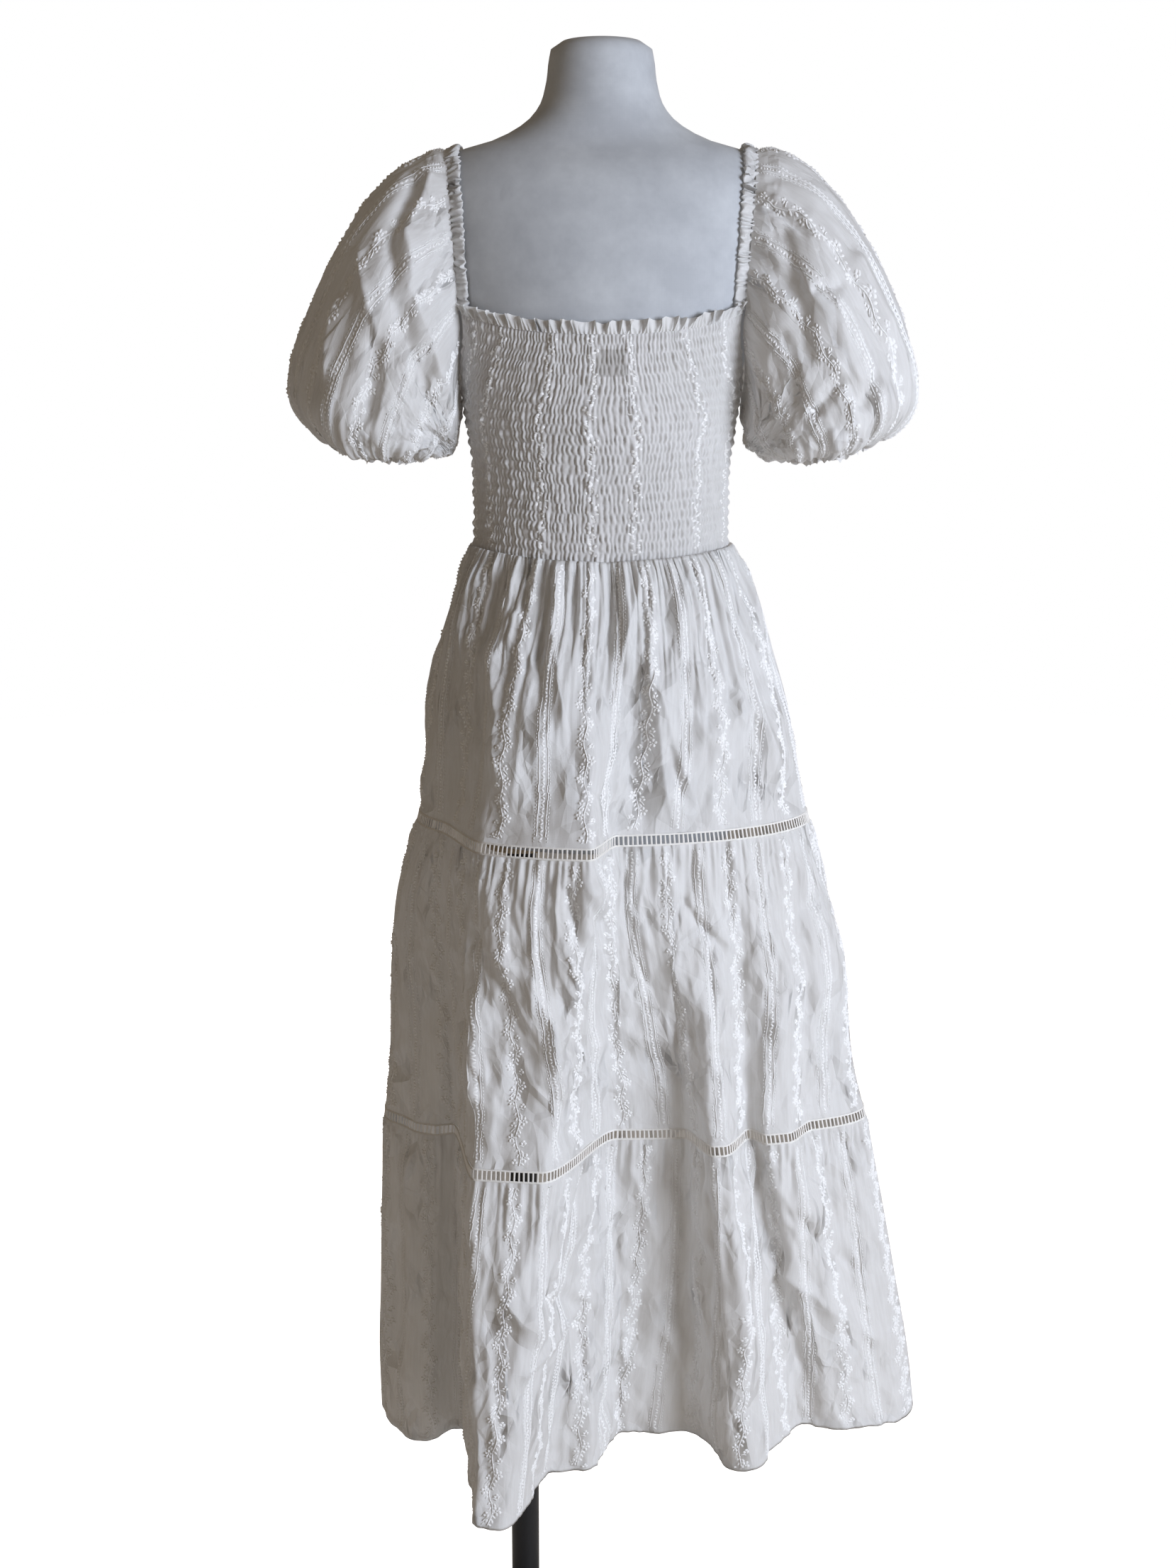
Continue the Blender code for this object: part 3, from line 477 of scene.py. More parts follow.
# Half a lace band, the hem's turning, how far the waist's seam allowance turns in, and the cloth's ease
BAND = LADDER_HEIGHT / 2
HEM_TURN = 0.010
WAIST_TUCK = 0.0045
TIER_EASE = 1.015
# How far below its seam each tier's finest gathers run out
GATHER_LENGTHS = {"tier_1": 0.040, "tier_2": 0.015, "tier_3": 0.015}


def skirt_base(side, top, bottom, columns, rows, name):
    """Points of a skirt panel with its big folds alone."""
    angle = side_angles(side, columns, top, bottom)
    share = np.linspace(0, 1, rows + 1)[:, None]
    level = np.zeros_like(angle)
    top_drop = waist_drop(angle) if name.startswith("tier_1") else level
    foot_drop = hem_drop(angle) if name.startswith("tier_3") else level
    z = (top - top_drop[None, :]) * (1 - share) + (bottom - foot_drop[None, :]) * share
    x, y = skirt_xy(np.maximum(z, HEM_Z), np.broadcast_to(angle[None, :], z.shape))
    points = np.stack([x, y, z], axis=-1)
    points[:, (0, -1), 1] = SEAM_SHIFT[side]
    return points


# The main creases behind, a row per crease: x and height of one end, of the other end, kind, breadth, height
CREASES = (
    (0.003, 1.203, 0.000, 1.060, "trough", 0.007, 0.0060),
    (0.032, 1.204, 0.012, 1.073, "ridge", 0.006, 0.0045),
    (0.012, 1.073, 0.011, 0.977, "ridge", 0.006, 0.0035),
    (0.044, 1.203, 0.046, 1.079, "ridge", 0.007, 0.0045),
    (0.046, 1.079, 0.066, 0.966, "ridge", 0.007, 0.0045),
    (0.026, 1.099, 0.035, 0.973, "trough", 0.012, 0.0050),
    (0.062, 1.042, 0.080, 0.979, "trough", 0.006, 0.0040),
    (0.096, 1.204, 0.135, 1.105, "ridge", 0.008, 0.0045),
    (0.135, 1.105, 0.162, 0.993, "ridge", 0.008, 0.0045),
    (-0.081, 1.160, -0.102, 1.105, "ridge", 0.008, 0.0040),
    (-0.102, 1.105, -0.093, 1.004, "ridge", 0.008, 0.0040),
    (-0.039, 1.204, -0.044, 1.155, "ridge", 0.006, 0.0040),
    (-0.044, 1.155, -0.037, 1.054, "ridge", 0.006, 0.0035),
    (-0.077, 1.158, -0.061, 1.102, "ridge", 0.007, 0.0035),
    (-0.061, 1.102, -0.084, 0.999, "ridge", 0.007, 0.0035),
    (-0.071, 1.203, -0.073, 1.106, "trough", 0.007, 0.0045),
    (-0.056, 1.143, -0.060, 1.079, "trough", 0.006, 0.0045),
    (0.043, 1.107, 0.086, 0.993, "ridge", 0.006, 0.0035),
    (0.138, 1.071, 0.172, 1.000, "ridge", 0.007, 0.0035),
    (-0.056, 0.913, -0.068, 0.798, "ridge", 0.007, 0.0045),
    (-0.033, 0.919, -0.021, 0.863, "trough", 0.006, 0.0045),
    (-0.013, 0.919, 0.005, 0.834, "right_edge", 0.009, 0.0045),
    (0.005, 0.834, 0.014, 0.774, "right_edge", 0.010, 0.0045),
    (0.076, 0.890, 0.115, 0.840, "trough", 0.006, 0.0045),
    (0.081, 0.890, 0.124, 0.836, "ridge", 0.005, 0.0035),
    (0.102, 0.853, 0.104, 0.719, "left_edge", 0.008, 0.0045),
    (-0.112, 0.859, -0.077, 0.840, "ridge", 0.005, 0.0030),
    (-0.121, 0.871, -0.089, 0.815, "trough", 0.006, 0.0035),
    (-0.062, 0.834, -0.039, 0.773, "ridge", 0.007, 0.0045),
    (-0.039, 0.773, -0.033, 0.705, "ridge", 0.007, 0.0035),
    (-0.021, 0.736, -0.039, 0.660, "trough", 0.010, 0.0055),
    (-0.122, 0.804, -0.120, 0.705, "ridge", 0.008, 0.0035),
    (0.162, 0.847, 0.174, 0.798, "ridge", 0.007, 0.0035),
    (0.174, 0.798, 0.169, 0.740, "ridge", 0.007, 0.0035),
    (0.191, 0.859, 0.225, 0.742, "ridge", 0.009, 0.0045),
    (0.133, 0.822, 0.116, 0.742, "trough", 0.009, 0.0035),
    (0.116, 0.742, 0.141, 0.688, "trough", 0.008, 0.0035),
    (0.067, 0.834, 0.062, 0.736, "ridge", 0.010, 0.0035),
    (-0.075, 0.560, -0.052, 0.455, "ridge", 0.008, 0.0040),
    (-0.100, 0.540, -0.070, 0.500, "ridge", 0.005, 0.0030),
    (-0.052, 0.520, -0.024, 0.470, "trough", 0.007, 0.0040),
    (-0.070, 0.455, -0.018, 0.470, "ridge", 0.005, 0.0030),
    (-0.112, 0.500, -0.095, 0.390, "ridge", 0.007, 0.0035),
    (0.030, 0.600, 0.060, 0.520, "ridge", 0.007, 0.0035),
    (0.050, 0.470, 0.095, 0.370, "ridge", 0.008, 0.0035),
    (0.075, 0.590, 0.100, 0.505, "trough", 0.008, 0.0045),
    (0.128, 0.560, 0.140, 0.430, "ridge", 0.008, 0.0045),
    (0.165, 0.600, 0.200, 0.545, "ridge", 0.006, 0.0035),
    (0.170, 0.500, 0.260, 0.430, "ridge", 0.006, 0.0035),
    (0.185, 0.560, 0.265, 0.480, "trough", 0.007, 0.0040),
    (0.240, 0.440, 0.285, 0.400, "ridge", 0.006, 0.0035),
    (-0.190, 0.610, -0.195, 0.480, "ridge", 0.009, 0.0040),
    (-0.205, 0.520, -0.215, 0.390, "trough", 0.009, 0.0040),
)

# The tiers, a row per panel: name, side, top, bottom, columns, rows, folds in the three families, seed
TIERS = (
    ("tier_1_back", "back", WAIST_Z, LADDER_1_Z + BAND, 380, 90, (31, 16, 8), 11),
    ("tier_1_front", "front", WAIST_Z, LADDER_1_Z + BAND, 200, 50, (34, 17, 8), 51),
    ("tier_2_back", "back", LADDER_1_Z - BAND, LADDER_2_Z + BAND, 440, 104, (72, 30, 12), 12),
    ("tier_2_front", "front", LADDER_1_Z - BAND, LADDER_2_Z + BAND, 220, 60, (42, 19, 9), 52),
    ("tier_3_back", "back", LADDER_2_Z - BAND, HEM_Z, 440, 104, (84, 34, 14), 13),
    ("tier_3_front", "front", LADDER_2_Z - BAND, HEM_Z, 220, 60, (50, 23, 11), 53),
)


def tier(name, side, top, bottom, columns, rows, folds, seed):
    """A gathered, embroidered tier of the skirt, and the lace band below it unless it ends in the hem."""
    hem = name.startswith("tier_3")
    base = evened(skirt_base(side, top, bottom, columns, rows, name))
    width = widths(base)
    length = np.linalg.norm(np.diff(base, axis=0), axis=-1).sum(axis=0).mean()
    flat_width = width[-1] * TIER_EASE
    across, down = np.linspace(0, 1, columns + 1), np.linspace(0, length, rows + 1)

    # Fine gathers at the seam pass into middle and coarse folds below it
    reach = GATHER_LENGTHS[name[:6]]
    run = down[:, None] / (1 + 0.85 * blur(across[None, :] * folds[1] * 0.8, 0 * down[:, None], seed + 50))
    fine = 0.9 * np.exp(-run / reach)
    middle = (1 - fine) * 0.60 * np.exp(-np.clip(run - 0.02, 0, None) / (2.5 * reach))
    coarse = (1 - fine - middle) * 0.40
    rise = gathers(width, flat_width, across, down, zip(folds, (fine, middle, coarse)), seed)

    # Folds and crumples ease off at the lace below and at the side seams
    s, t = across[None, :] * flat_width, down[:, None]
    edge = 1 if hem else smooth((length - t) / 0.030)
    sides = smooth(across / 0.035) * smooth((1 - across) / 0.035)
    rise = rise * 0.5 * (0.40 + 0.60 * smooth(t / 0.012)) * (0.25 + 0.75 * edge)
    small = crumples(s, t, seed + 30)
    small = small * smooth(t / 0.030) * (0.2 + 0.8 * edge)
    sewn_in = puckers(s, t, flat_width, seed + 60) * smooth(t / 0.010)
    out = outward(base)
    points = base + out * ((rise + 0.4 * small) * sides[None, :])[..., None]
    held = np.zeros(base.shape[:2])
    held[0] = held[:, 0] = held[:, -1] = 1
    if not hem:
        held[-1] = 1
    points = settled(base, points, flat_width, held)
    # the cloth hangs calmer below its gathers
    calm = 0.32 + 0.68 * np.exp(-((t / (3.0 * reach)) ** 2))
    points = base + (points - base) * calm[..., None]
    if hem:
        ripple = 0.0030 * blur(s / 0.045, 0 * t, seed + 40) + 0.0014 * blur(s / 0.014, 0 * t, seed + 41)
        small = small + ripple * smooth((t - length + 0.05) / 0.05)
        small = small - 0.0007 * np.exp(-(((length - t - HEM_TURN) / 0.0016) ** 2))
    points = points + out * ((0.9 * small + sewn_in) * sides[None, :])[..., None]
    if side == "back":
        points = creased(points, out, CREASES)

    # The waist's seam allowance and the hem turn in
    turned = points
    if name.startswith("tier_1"):
        turned = np.concatenate([points[:1] - out[:1] * WAIST_TUCK, points])
    if hem:
        folded = slice(-2, -2 - round(HEM_TURN / length * rows), -1)
        turned = np.concatenate([points, points[folded] - out[folded] * 0.0009])
    flat = (flat_width, length * turned.shape[0] / points.shape[0])
    piece = worn(sheet_mesh(name + "_cloth", turned, flat, COTTON), "cotton_voile", name)
    sewn = embroidery(name + "_embroidery", points, (flat_width, length), seed)
    trims = [sewn] if hem else [sewn, ladder(name.replace("tier", "ladder"), side, bottom - BAND)]


# Embroidery: motifs in millimetres on the flat cloth, each a list of points (across, down, up) and triangles

# How far one repeat of each stripe runs, and how much higher the stitches stand than drawn
VINE_REPEAT, BRAID_REPEAT = 34.0, 6.8
STITCH_RELIEF = 1.3
# No stitch comes nearer than this to a panel's edge, in metres
STRIPE_EDGE = 0.004


def petal(s, t, long, wide, turn, up=1.1):
    """A raised oval of satin stitches."""
    angle = np.arange(6) * math.pi / 3
    x, y = long / 2 * np.cos(angle), wide / 2 * np.sin(angle)
    c, d = math.cos(turn), math.sin(turn)
    rim = np.stack([s + x * c - y * d, t + x * d + y * c, np.full(6, 0.05)], axis=1)
    points = np.vstack([rim, [(s, t, up)]])
    return points, np.array([(k, (k + 1) % 6, 6) for k in range(6)])


def stitch(s, t, long, wide, turn, up=0.8):
    """One straight stitch, pointed at both ends."""
    c, d = math.cos(turn), math.sin(turn)
    rim = [(-long / 2, 0), (0, -wide / 2), (long / 2, 0), (0, wide / 2)]
    points = [(s + x * c - y * d, t + x * d + y * c, 0.05) for x, y in rim] + [(s, t, up)]
    return np.array(points), np.array([(0, 1, 4), (1, 2, 4), (2, 3, 4), (3, 0, 4)])


def thread(s, t, wide, up=0.9):
    """A ridge of thread along a line of places."""
    s, t = np.asarray(s, float), np.asarray(t, float)
    ds, dt = np.gradient(s), np.gradient(t)
    length = np.hypot(ds, dt)
    ns, nt = dt / length * wide / 2, -ds / length * wide / 2
    left = np.stack([s - ns, t - nt, np.full_like(s, 0.05)], axis=1)
    middle = np.stack([s, t, np.full_like(s, up)], axis=1)
    right = np.stack([s + ns, t + nt, np.full_like(s, 0.05)], axis=1)
    points = np.concatenate([left, middle, right])
    n, faces = len(s), []
    for k in range(n - 1):
        for near, far in ((k, n + k), (n + k, 2 * n + k)):
            faces += [(near, far, far + 1), (near, far + 1, near + 1)]
    return points, np.array(faces)


def joined(motifs):
    """Several motifs as one list of points and triangles."""
    points, faces, count = [], [], 0
    for some_points, some_faces in motifs:
        points.append(some_points)
        faces.append(some_faces + count)
        count += len(some_points)
    return np.concatenate(points), np.concatenate(faces)


def flower(s, t, reach, petals, long, wide, start):
    """A ring of petals about a raised eye."""
    turns = [start + 2 * math.pi * k / petals for k in range(petals)]
    around = [petal(s + reach * math.cos(a), t + reach * math.sin(a), long, wide, a, 1.5) for a in turns]
    return around + [petal(s, t, 1.9, 1.9, 0, 1.8)]


def vine():
    """One repeat of a climbing stem with round flowers, sprays of buds and small leaves on both sides."""
    t = np.linspace(0, VINE_REPEAT, 12)
    motifs = [thread(2.0 * np.sin(2 * math.pi * t / VINE_REPEAT), t, 1.3)]
    motifs += flower(6.0, 8.0, 2.9, 5, 4.0, 3.2, 0.3)
    motifs += flower(-6.0, 24.5, 2.7, 5, 3.8, 3.0, 0.9)
    for k in range(3):
        motifs.append(petal(-5.6 + 1.6 * k, 10.5 + 2.6 * (k - 1) ** 2, 3.8, 2.6, 0.5 - 0.6 * k, 1.4))
    for k in range(3):
        motifs.append(petal(4.0 + 1.7 * k, 27.0 + 2.0 * (k - 1) ** 2, 3.8, 2.6, 0.4 - 0.7 * k, 1.4))
    curl = np.linspace(0, 1, 5)
    motifs.append(thread(-1.0 - 5.5 * curl, 14.5 + 4.0 * curl**2, 1.0))
    motifs.append(thread(1.0 + 5.0 * curl, 31.5 + 2.5 * curl**2 - 2.0 * curl, 1.0))
    leaves = (
        (-1, 2.0, 0.9), (1, 3.0, -0.7), (-1, 6.5, 0.6), (1, 14.0, -1.0),
        (-1, 18.5, 0.8), (1, 18.0, -0.6), (1, 22.0, -0.9), (-1, 30.5, 0.7),
    )
    for side, down, turn in leaves:
        middle = 2.0 * math.sin(2 * math.pi * down / VINE_REPEAT)
        motifs.append(petal(middle + side * 2.6, down, 4.8, 2.4, turn + math.pi / 2, 1.2))
    return joined(motifs)


def braid():
    """One repeat of a straight braid: stitched outer lines, corded inner lines and slanted ovals."""
    motifs = []
    for s in (-6.6, 6.6):
        motifs += [stitch(s, t, 2.7, 1.3, math.pi / 2) for t in (1.7, 5.1)]
    for s in (-4.4, 4.4):
        motifs.append(thread([s, s], [0, BRAID_REPEAT], 1.0, 0.7))
    motifs.append(petal(0, 1.7, 4.4, 2.4, 0.7, 1.1))
    motifs.append(petal(0, 5.1, 4.4, 2.4, -0.7, 1.1))
    return joined(motifs)


def on_cloth(points, out, size, s, t, up):
    """Places on a sheet at flat distances across and down it, raised off it."""
    rows, columns = points.shape[:2]
    i = np.clip(t / size[1] * (rows - 1), 0, rows - 1.001)
    j = np.clip(s / size[0] * (columns - 1), 0, columns - 1.001)
    r, c = i.astype(int), j.astype(int)
    a, b = (i - r)[:, None], (j - c)[:, None]

    def at(grid):
        upper = grid[r, c] * (1 - b) + grid[r, c + 1] * b
        lower = grid[r + 1, c] * (1 - b) + grid[r + 1, c + 1] * b
        return upper * (1 - a) + lower * a

    return at(points) + unit(at(out)) * up[:, None]


def embroidery(name, points, size, seed, flip=False):
    """Vine and braid stripes by turns along a panel, as one mesh laid on its cloth."""
    rng = np.random.RandomState(seed)
    stripes = ((*vine(), VINE_REPEAT / 1000), (*braid(), BRAID_REPEAT / 1000))
    out = outward(points) * (-1 if flip else 1)
    all_points, all_faces, count = [], [], 0
    for k, middle in enumerate(stripe_places(size[0])):
        motif, faces, repeat = stripes[k % 2]
        start = -rng.uniform(0, repeat)
        side = 1 if rng.uniform() < 0.5 else -1
        for n in range(int(size[1] / repeat) + 2):
            s = middle + side * motif[:, 0] / 1000
            t = start + n * repeat + motif[:, 1] / 1000
            inside = (t > STRIPE_EDGE) & (t < size[1] - STRIPE_EDGE)
            inside &= (s > STRIPE_EDGE) & (s < size[0] - STRIPE_EDGE)
            kept = faces[inside[faces].all(axis=1)]
            if len(kept) == 0:
                continue
            wander = 0.0012 * blur(t / 0.05, 0 * t, seed + k) + 0.0004 * rng.normal()
            all_points.append(on_cloth(points, out, size, s + wander, t, STITCH_RELIEF * motif[:, 2] / 1000))
            all_faces.append((kept[:, ::-1] if side < 0 else kept) + count)
            count += len(motif)
    points, faces = np.concatenate(all_points), np.concatenate(all_faces)
    used, faces = np.unique(faces, return_inverse=True)
    piece = add_mesh(name, points[used], faces.reshape(-1, 3)[:, ::-1], THREAD)
    return worn(piece, "cotton_voile")


# Ladder lace: two rails with rungs between them. Breadths of a rail and a rung, and the rungs' spacing.

RAIL = 0.0016
RUNG_PITCH = 0.0044
RUNG = 0.0017


def ladder(name, side, middle_z):
    """A band of lace round the back or the front of the skirt."""
    columns, rows = 360, 8
    points = skirt_base(side, middle_z + BAND, middle_z - BAND, columns, rows, name)
    out = outward(points)
    width = widths(points).mean()
    size = (width, LADDER_HEIGHT)
    motifs = []
    length, height = width * 1000, LADDER_HEIGHT * 1000
    stations = np.arange(0, length, 2.2)
    rail = RAIL * 1000
    for t in (rail / 2, height - rail / 2):
        motifs.append(thread(stations, np.full_like(stations, t), rail, 0.7))
        for edge in (-0.5, 0.5):
            motifs.append(thread(stations, t + edge * rail * 0.7 + 0.12 * np.sin(stations * 2.9), 0.7, 0.9))
    for k in range(int(width / RUNG_PITCH)):
        s = (k + 0.5) * RUNG_PITCH * 1000
        t = np.array([rail * 0.6, rail * 1.1, height / 2, height - rail * 1.1, height - rail * 0.6])
        lean = 0.25 * math.sin(5.1 * k)
        wide = RUNG * 1000 * (1 + 0.1 * math.sin(3.7 * k))
        motifs.append(thread(s + lean * (t / height - 0.5), t, wide, 0.75))
    flat_points, faces = joined(motifs)
    s, t, up = flat_points.T / 1000
    laid = on_cloth(points, out, size, s, t, up)
    return worn(add_mesh(name + "_lace", laid, faces[:, ::-1], LADDER_LACE), "ladder_lace", name)


# The bodice


def at_form(column, z):
    """A column of the form's table, read at any height: 1 for half width, 2 for behind, 3 for in front."""
    return curve_through([row[0] for row in FORM_SECTIONS], [row[column] for row in FORM_SECTIONS], z)


def body_point(z, angle, stand_off):
    """A point off the form's side, out along the level."""
    half = at_form(1, z)
    depth = np.where(np.sin(angle) < 0, at_form(2, z), at_form(3, z))
    nx, ny = np.cos(angle) * depth, np.sin(angle) * half
    length = np.hypot(nx, ny)
    x = BODY_X + half * np.cos(angle) + stand_off * nx / length
    return np.stack([x, depth * np.sin(angle) + stand_off * ny / length, z], axis=-1)


def form_normal(z, angle):
    """The outward direction of the form's side."""
    step = 1e-4
    around = body_point(z, angle + step, 0) - body_point(z, angle - step, 0)
    up = body_point(z + step, angle, 0) - body_point(z - step, angle, 0)
    return unit(np.cross(around, up))


def corner_turn(z, corner_z, turn):
    """How far round from the side a bodice panel's edge stands, from the underarm up to its corner."""
    return math.radians(turn) * smooth((z - UNDERARM_Z) / (corner_z - UNDERARM_Z)) ** 0.8


def bodice_grid(side, columns, rows):
    """Heights and angles of a bodice panel, from its neckline down to the waist."""
    back = side == "back"
    middle_z = BACK_TOP_MIDDLE_Z if back else FRONT_TOP_MIDDLE_Z
    corner_z = BACK_TOP_CORNER_Z if back else FRONT_TOP_CORNER_Z
    turn = BACK_CORNER_TURN if back else FRONT_CORNER_TURN
    across = np.linspace(-1, 1, columns + 1)[None, :]
    share = np.linspace(0, 1, rows + 1)[:, None]
    top = middle_z + (corner_z - middle_z) * np.abs(across) ** 2.2
    half_angle = math.pi / 2 - corner_turn(corner_z * (1 - share) + WAIST_Z * share, corner_z, turn)
    angle = (1.5 if back else 0.5) * math.pi + across * half_angle
    foot = WAIST_Z - waist_drop(angle)
    return top * (1 - share) + foot * share, angle


# The smocking as it lies drawn in: its width, its pleats and its rows of elastic thread
SMOCK_WIDTH = 0.270
SMOCK_PLEATS = 82
SHIRR_ROWS = 23
# Where embroidered columns run down the smocking: metres from its left edge at mid height
SMOCK_VINES = (0.018, 0.046, 0.094, 0.128, 0.157, 0.206, 0.243)


def bodice_back():
    """The smocked back: pleats that puff between rows of elastic thread and wander from row to row."""
    columns, rows = 5 * SMOCK_PLEATS, 6 * SHIRR_ROWS
    z, angle = bodice_grid("back", columns, rows)
    across = np.linspace(0, 1, columns + 1)[None, :]
    share = np.linspace(0, 1, rows + 1)[:, None]
    line = share * SHIRR_ROWS - 0.25
    row = np.floor(line)
    between = np.sin(math.pi * (line - row)) ** 2
    u = across * SMOCK_PLEATS
    shift = 0.55 * blur(0.31 * u, 1.7 * row, 71) + 0.75 * blur(0.13 * u, 0.25 * line, 72)
    run = u + shift + 0.16 * blur(0.8 * u, 1.9 * line, 73)
    ridge = np.abs(np.cos(math.pi * run)) ** 0.75
    size = 1 + 0.40 * blur(1.0 * run, 1.0 * row, 74)
    puff = 0.50 + 0.50 * between
    rise = 0.0026 + 0.0026 * ridge * puff * size + 0.00025 * between
    rise = rise + 0.0003 * blur(2.2 * u, 6.0 * line, 75)
    for k, middle in enumerate(SMOCK_VINES):
        near = np.exp(-(((across * SMOCK_WIDTH - middle - 0.002 * np.sin(5 * share + k)) / 0.0058) ** 2))
        lump = np.clip(blur(across * SMOCK_WIDTH / 0.0042, share * 0.21 / 0.0052, 76 + k) + 0.15, 0, 1)
        rise = rise + 0.0026 * near * lump * smooth(share / 0.03)
    edge = smooth(across / 0.012) * smooth((1 - across) / 0.012)
    rise = 0.0030 + (rise - 0.0030) * edge
    rise = rise * (0.8 + 0.2 * smooth(share / 0.012))
    points = body_point(z, angle, rise)
    points[:, 0, 1] = np.minimum(points[:, 0, 1], SEAM_SHIFT["back"])
    points[:, -1, 1] = np.minimum(points[:, -1, 1], SEAM_SHIFT["back"])
    points[-1, :, 2] -= 0.003
    length = BACK_TOP_MIDDLE_Z - WAIST_Z + WAIST_DIP
    flat = (widths(points).max(), length)
    piece = worn(sheet_mesh("bodice_back_smocking", points, flat, SMOCKED_PAINTED_SHADE), "smocked_cotton", "bodice_back")
    sewn = smocked_stitches(points)


def smocked_stitches(points):
    """Embroidered columns drawn together by the shirring: heaps of small petals."""
    rng = np.random.RandomState(79)
    size = (SMOCK_WIDTH, BACK_TOP_MIDDLE_Z - WAIST_Z + WAIST_DIP)
    motifs = []
    for k, middle in enumerate(SMOCK_VINES):
        for t in np.arange(0.004, size[1] - 0.004, 0.0021):
            s = middle + rng.normal(0, 0.0021) + 0.0012 * math.sin(t / 0.009 + k)
            long, wide = rng.uniform(2.6, 4.2), rng.uniform(1.7, 2.7)
            turn, up = rng.uniform(0, math.pi), rng.uniform(0.8, 1.7)
            motifs.append(petal(s * 1000, t * 1000, long, wide, turn, up))
    flat_points, faces = joined(motifs)
    s, t, up = flat_points.T / 1000
    raised = on_cloth(points, outward(points), size, s, t, up)
    return worn(add_mesh("bodice_back_embroidery", raised, faces[:, ::-1], THREAD), "smocked_cotton")


def bodice_front():
    """The plain front, lightly gathered at the neckline and the waist."""
    columns, rows = 150, 70
    z, angle = bodice_grid("front", columns, rows)
    across = np.linspace(0, 1, columns + 1)
    share = np.linspace(0, 1, rows + 1)[:, None]
    base = body_point(z, angle, np.full_like(z, 0.0030))
    width = widths(base)
    length = FRONT_TOP_MIDDLE_Z - WAIST_Z
    flat = (width.max() * 1.10, length)
    down = share[:, 0] * length
    fine = (np.exp(-down / 0.030) + np.exp(-(length - down) / 0.030))[:, None]
    rise = gathers(width, flat[0], across, down, ((44, fine * 0.8), (16, 0.25 + 0 * fine)), 91)
    rise = rise + 0.5 * crumples(across[None, :] * flat[0], share * length, 92)
    rise = np.clip(rise, -0.0008, 0.004) * smooth(across / 0.05) * smooth((1 - across) / 0.05)
    points = base + outward(base)[..., :] * rise[..., None]
    points[:, 0, 1] = np.maximum(points[:, 0, 1], SEAM_SHIFT["front"])
    points[:, -1, 1] = np.maximum(points[:, -1, 1], SEAM_SHIFT["front"])
    cloth = sheet_mesh("bodice_front_cloth", points, flat, COTTON, flip=True)
    piece = worn(cloth, "cotton_voile", "bodice_front")
    sewn = embroidery("bodice_front_embroidery", points, flat, 93, flip=True)


def neck_ruffle():
    """The ruffle that stands above the smocking, wavier towards its free edge."""
    columns, rows, waves, height = 620, 12, 24, 0.0118
    across = np.linspace(-0.985, 0.985, columns + 1)
    top = BACK_TOP_MIDDLE_Z + (BACK_TOP_CORNER_Z - BACK_TOP_MIDDLE_Z) * np.abs(across) ** 2.2
    angle = 1.5 * math.pi + across * (math.pi / 2 - math.radians(BACK_CORNER_TURN))
    share = np.linspace(0, 1, rows + 1)[:, None]
    u = (across[None, :] + 1) / 2 * waves
    run = u + 0.45 * blur(0.7 * u, 0 * u, 61) + 0.10 * blur(1.3 * u, 1.5 * share, 62)
    size = 0.0033 * (1 + 0.55 * blur(run, 0 * run, 63)) * (1 - share) ** 0.8
    fine = 0.0007 * np.cos(2 * math.pi * u * 3.4 + 2 * blur(2 * u, 0 * u, 64)) * (0.3 + 0.7 * share)
    wave = size * (np.sin(2 * math.pi * run) + 0.3 * np.sin(4 * math.pi * run + 1)) + fine
    reach = 1 + 0.14 * blur(1.5 * u, 0 * u, 65) - 0.10 * np.abs(np.sin(2 * math.pi * run))
    stand_off = 0.0044 + 0.0026 * (1 - share) + wave
    lean = 0.0026 * (1 - share) * np.cos(2 * math.pi * run + 0.4) * (1 + 0.5 * blur(run, 0 * run, 66))
    z = top[None, :] - 0.0022 + height * (1 - share) * reach
    points = body_point(z, np.broadcast_to(angle, z.shape) + lean / 0.12, np.maximum(stand_off, 0.0012))
    flat = cut_size(points)
    piece = worn(sheet_mesh("neck_ruffle_cloth", points, flat, COTTON), "cotton_voile", "neck_ruffle")


# Shoulders, sleeves and cuffs, worked out for the wearer's right


def shoulder_path(count, end=1.0):
    """The casing's line from the back corner over the shoulder to the front, and its outward directions."""
    run = np.linspace(-end, end, count)
    corner_z = np.where(run < 0, BACK_TOP_CORNER_Z, FRONT_TOP_CORNER_Z)
    z = SHOULDER_Z - (SHOULDER_Z - corner_z) * np.abs(run) ** 1.6
    turn = np.where(run < 0, BACK_CORNER_TURN, FRONT_CORNER_TURN)
    corner_x = at_form(1, corner_z) * np.cos(np.radians(turn))
    x = SHOULDER_X + (corner_x - SHOULDER_X) * np.abs(run) ** 1.4
    angle = np.sign(run) * np.arccos(np.clip(x / at_form(1, z), -1, 1))
    points = body_point(z, angle, 0)
    points[:, 0] -= BODY_X
    return points, form_normal(z, angle)


def mirrored(points, side):
    """Points worked out for the right, moved to a side of the body."""
    moved = points.copy()
    if side == "left":
        moved[..., 0] = -moved[..., 0]
    moved[..., 0] += BODY_X
    return moved


# The casing's section from its inner foot over its crown to its outer foot: place across, rise
CASING_SECTION = (
    (-0.04, 0.0), (-0.05, 0.35), (0.02, 0.75), (0.18, 1.0), (0.40, 0.92),
    (0.62, 0.95), (0.84, 1.0), (0.99, 0.75), (1.05, 0.35), (1.03, 0.0),
)
CASING_WIDTH = 0.0142
CASING_PLEAT = 0.0062


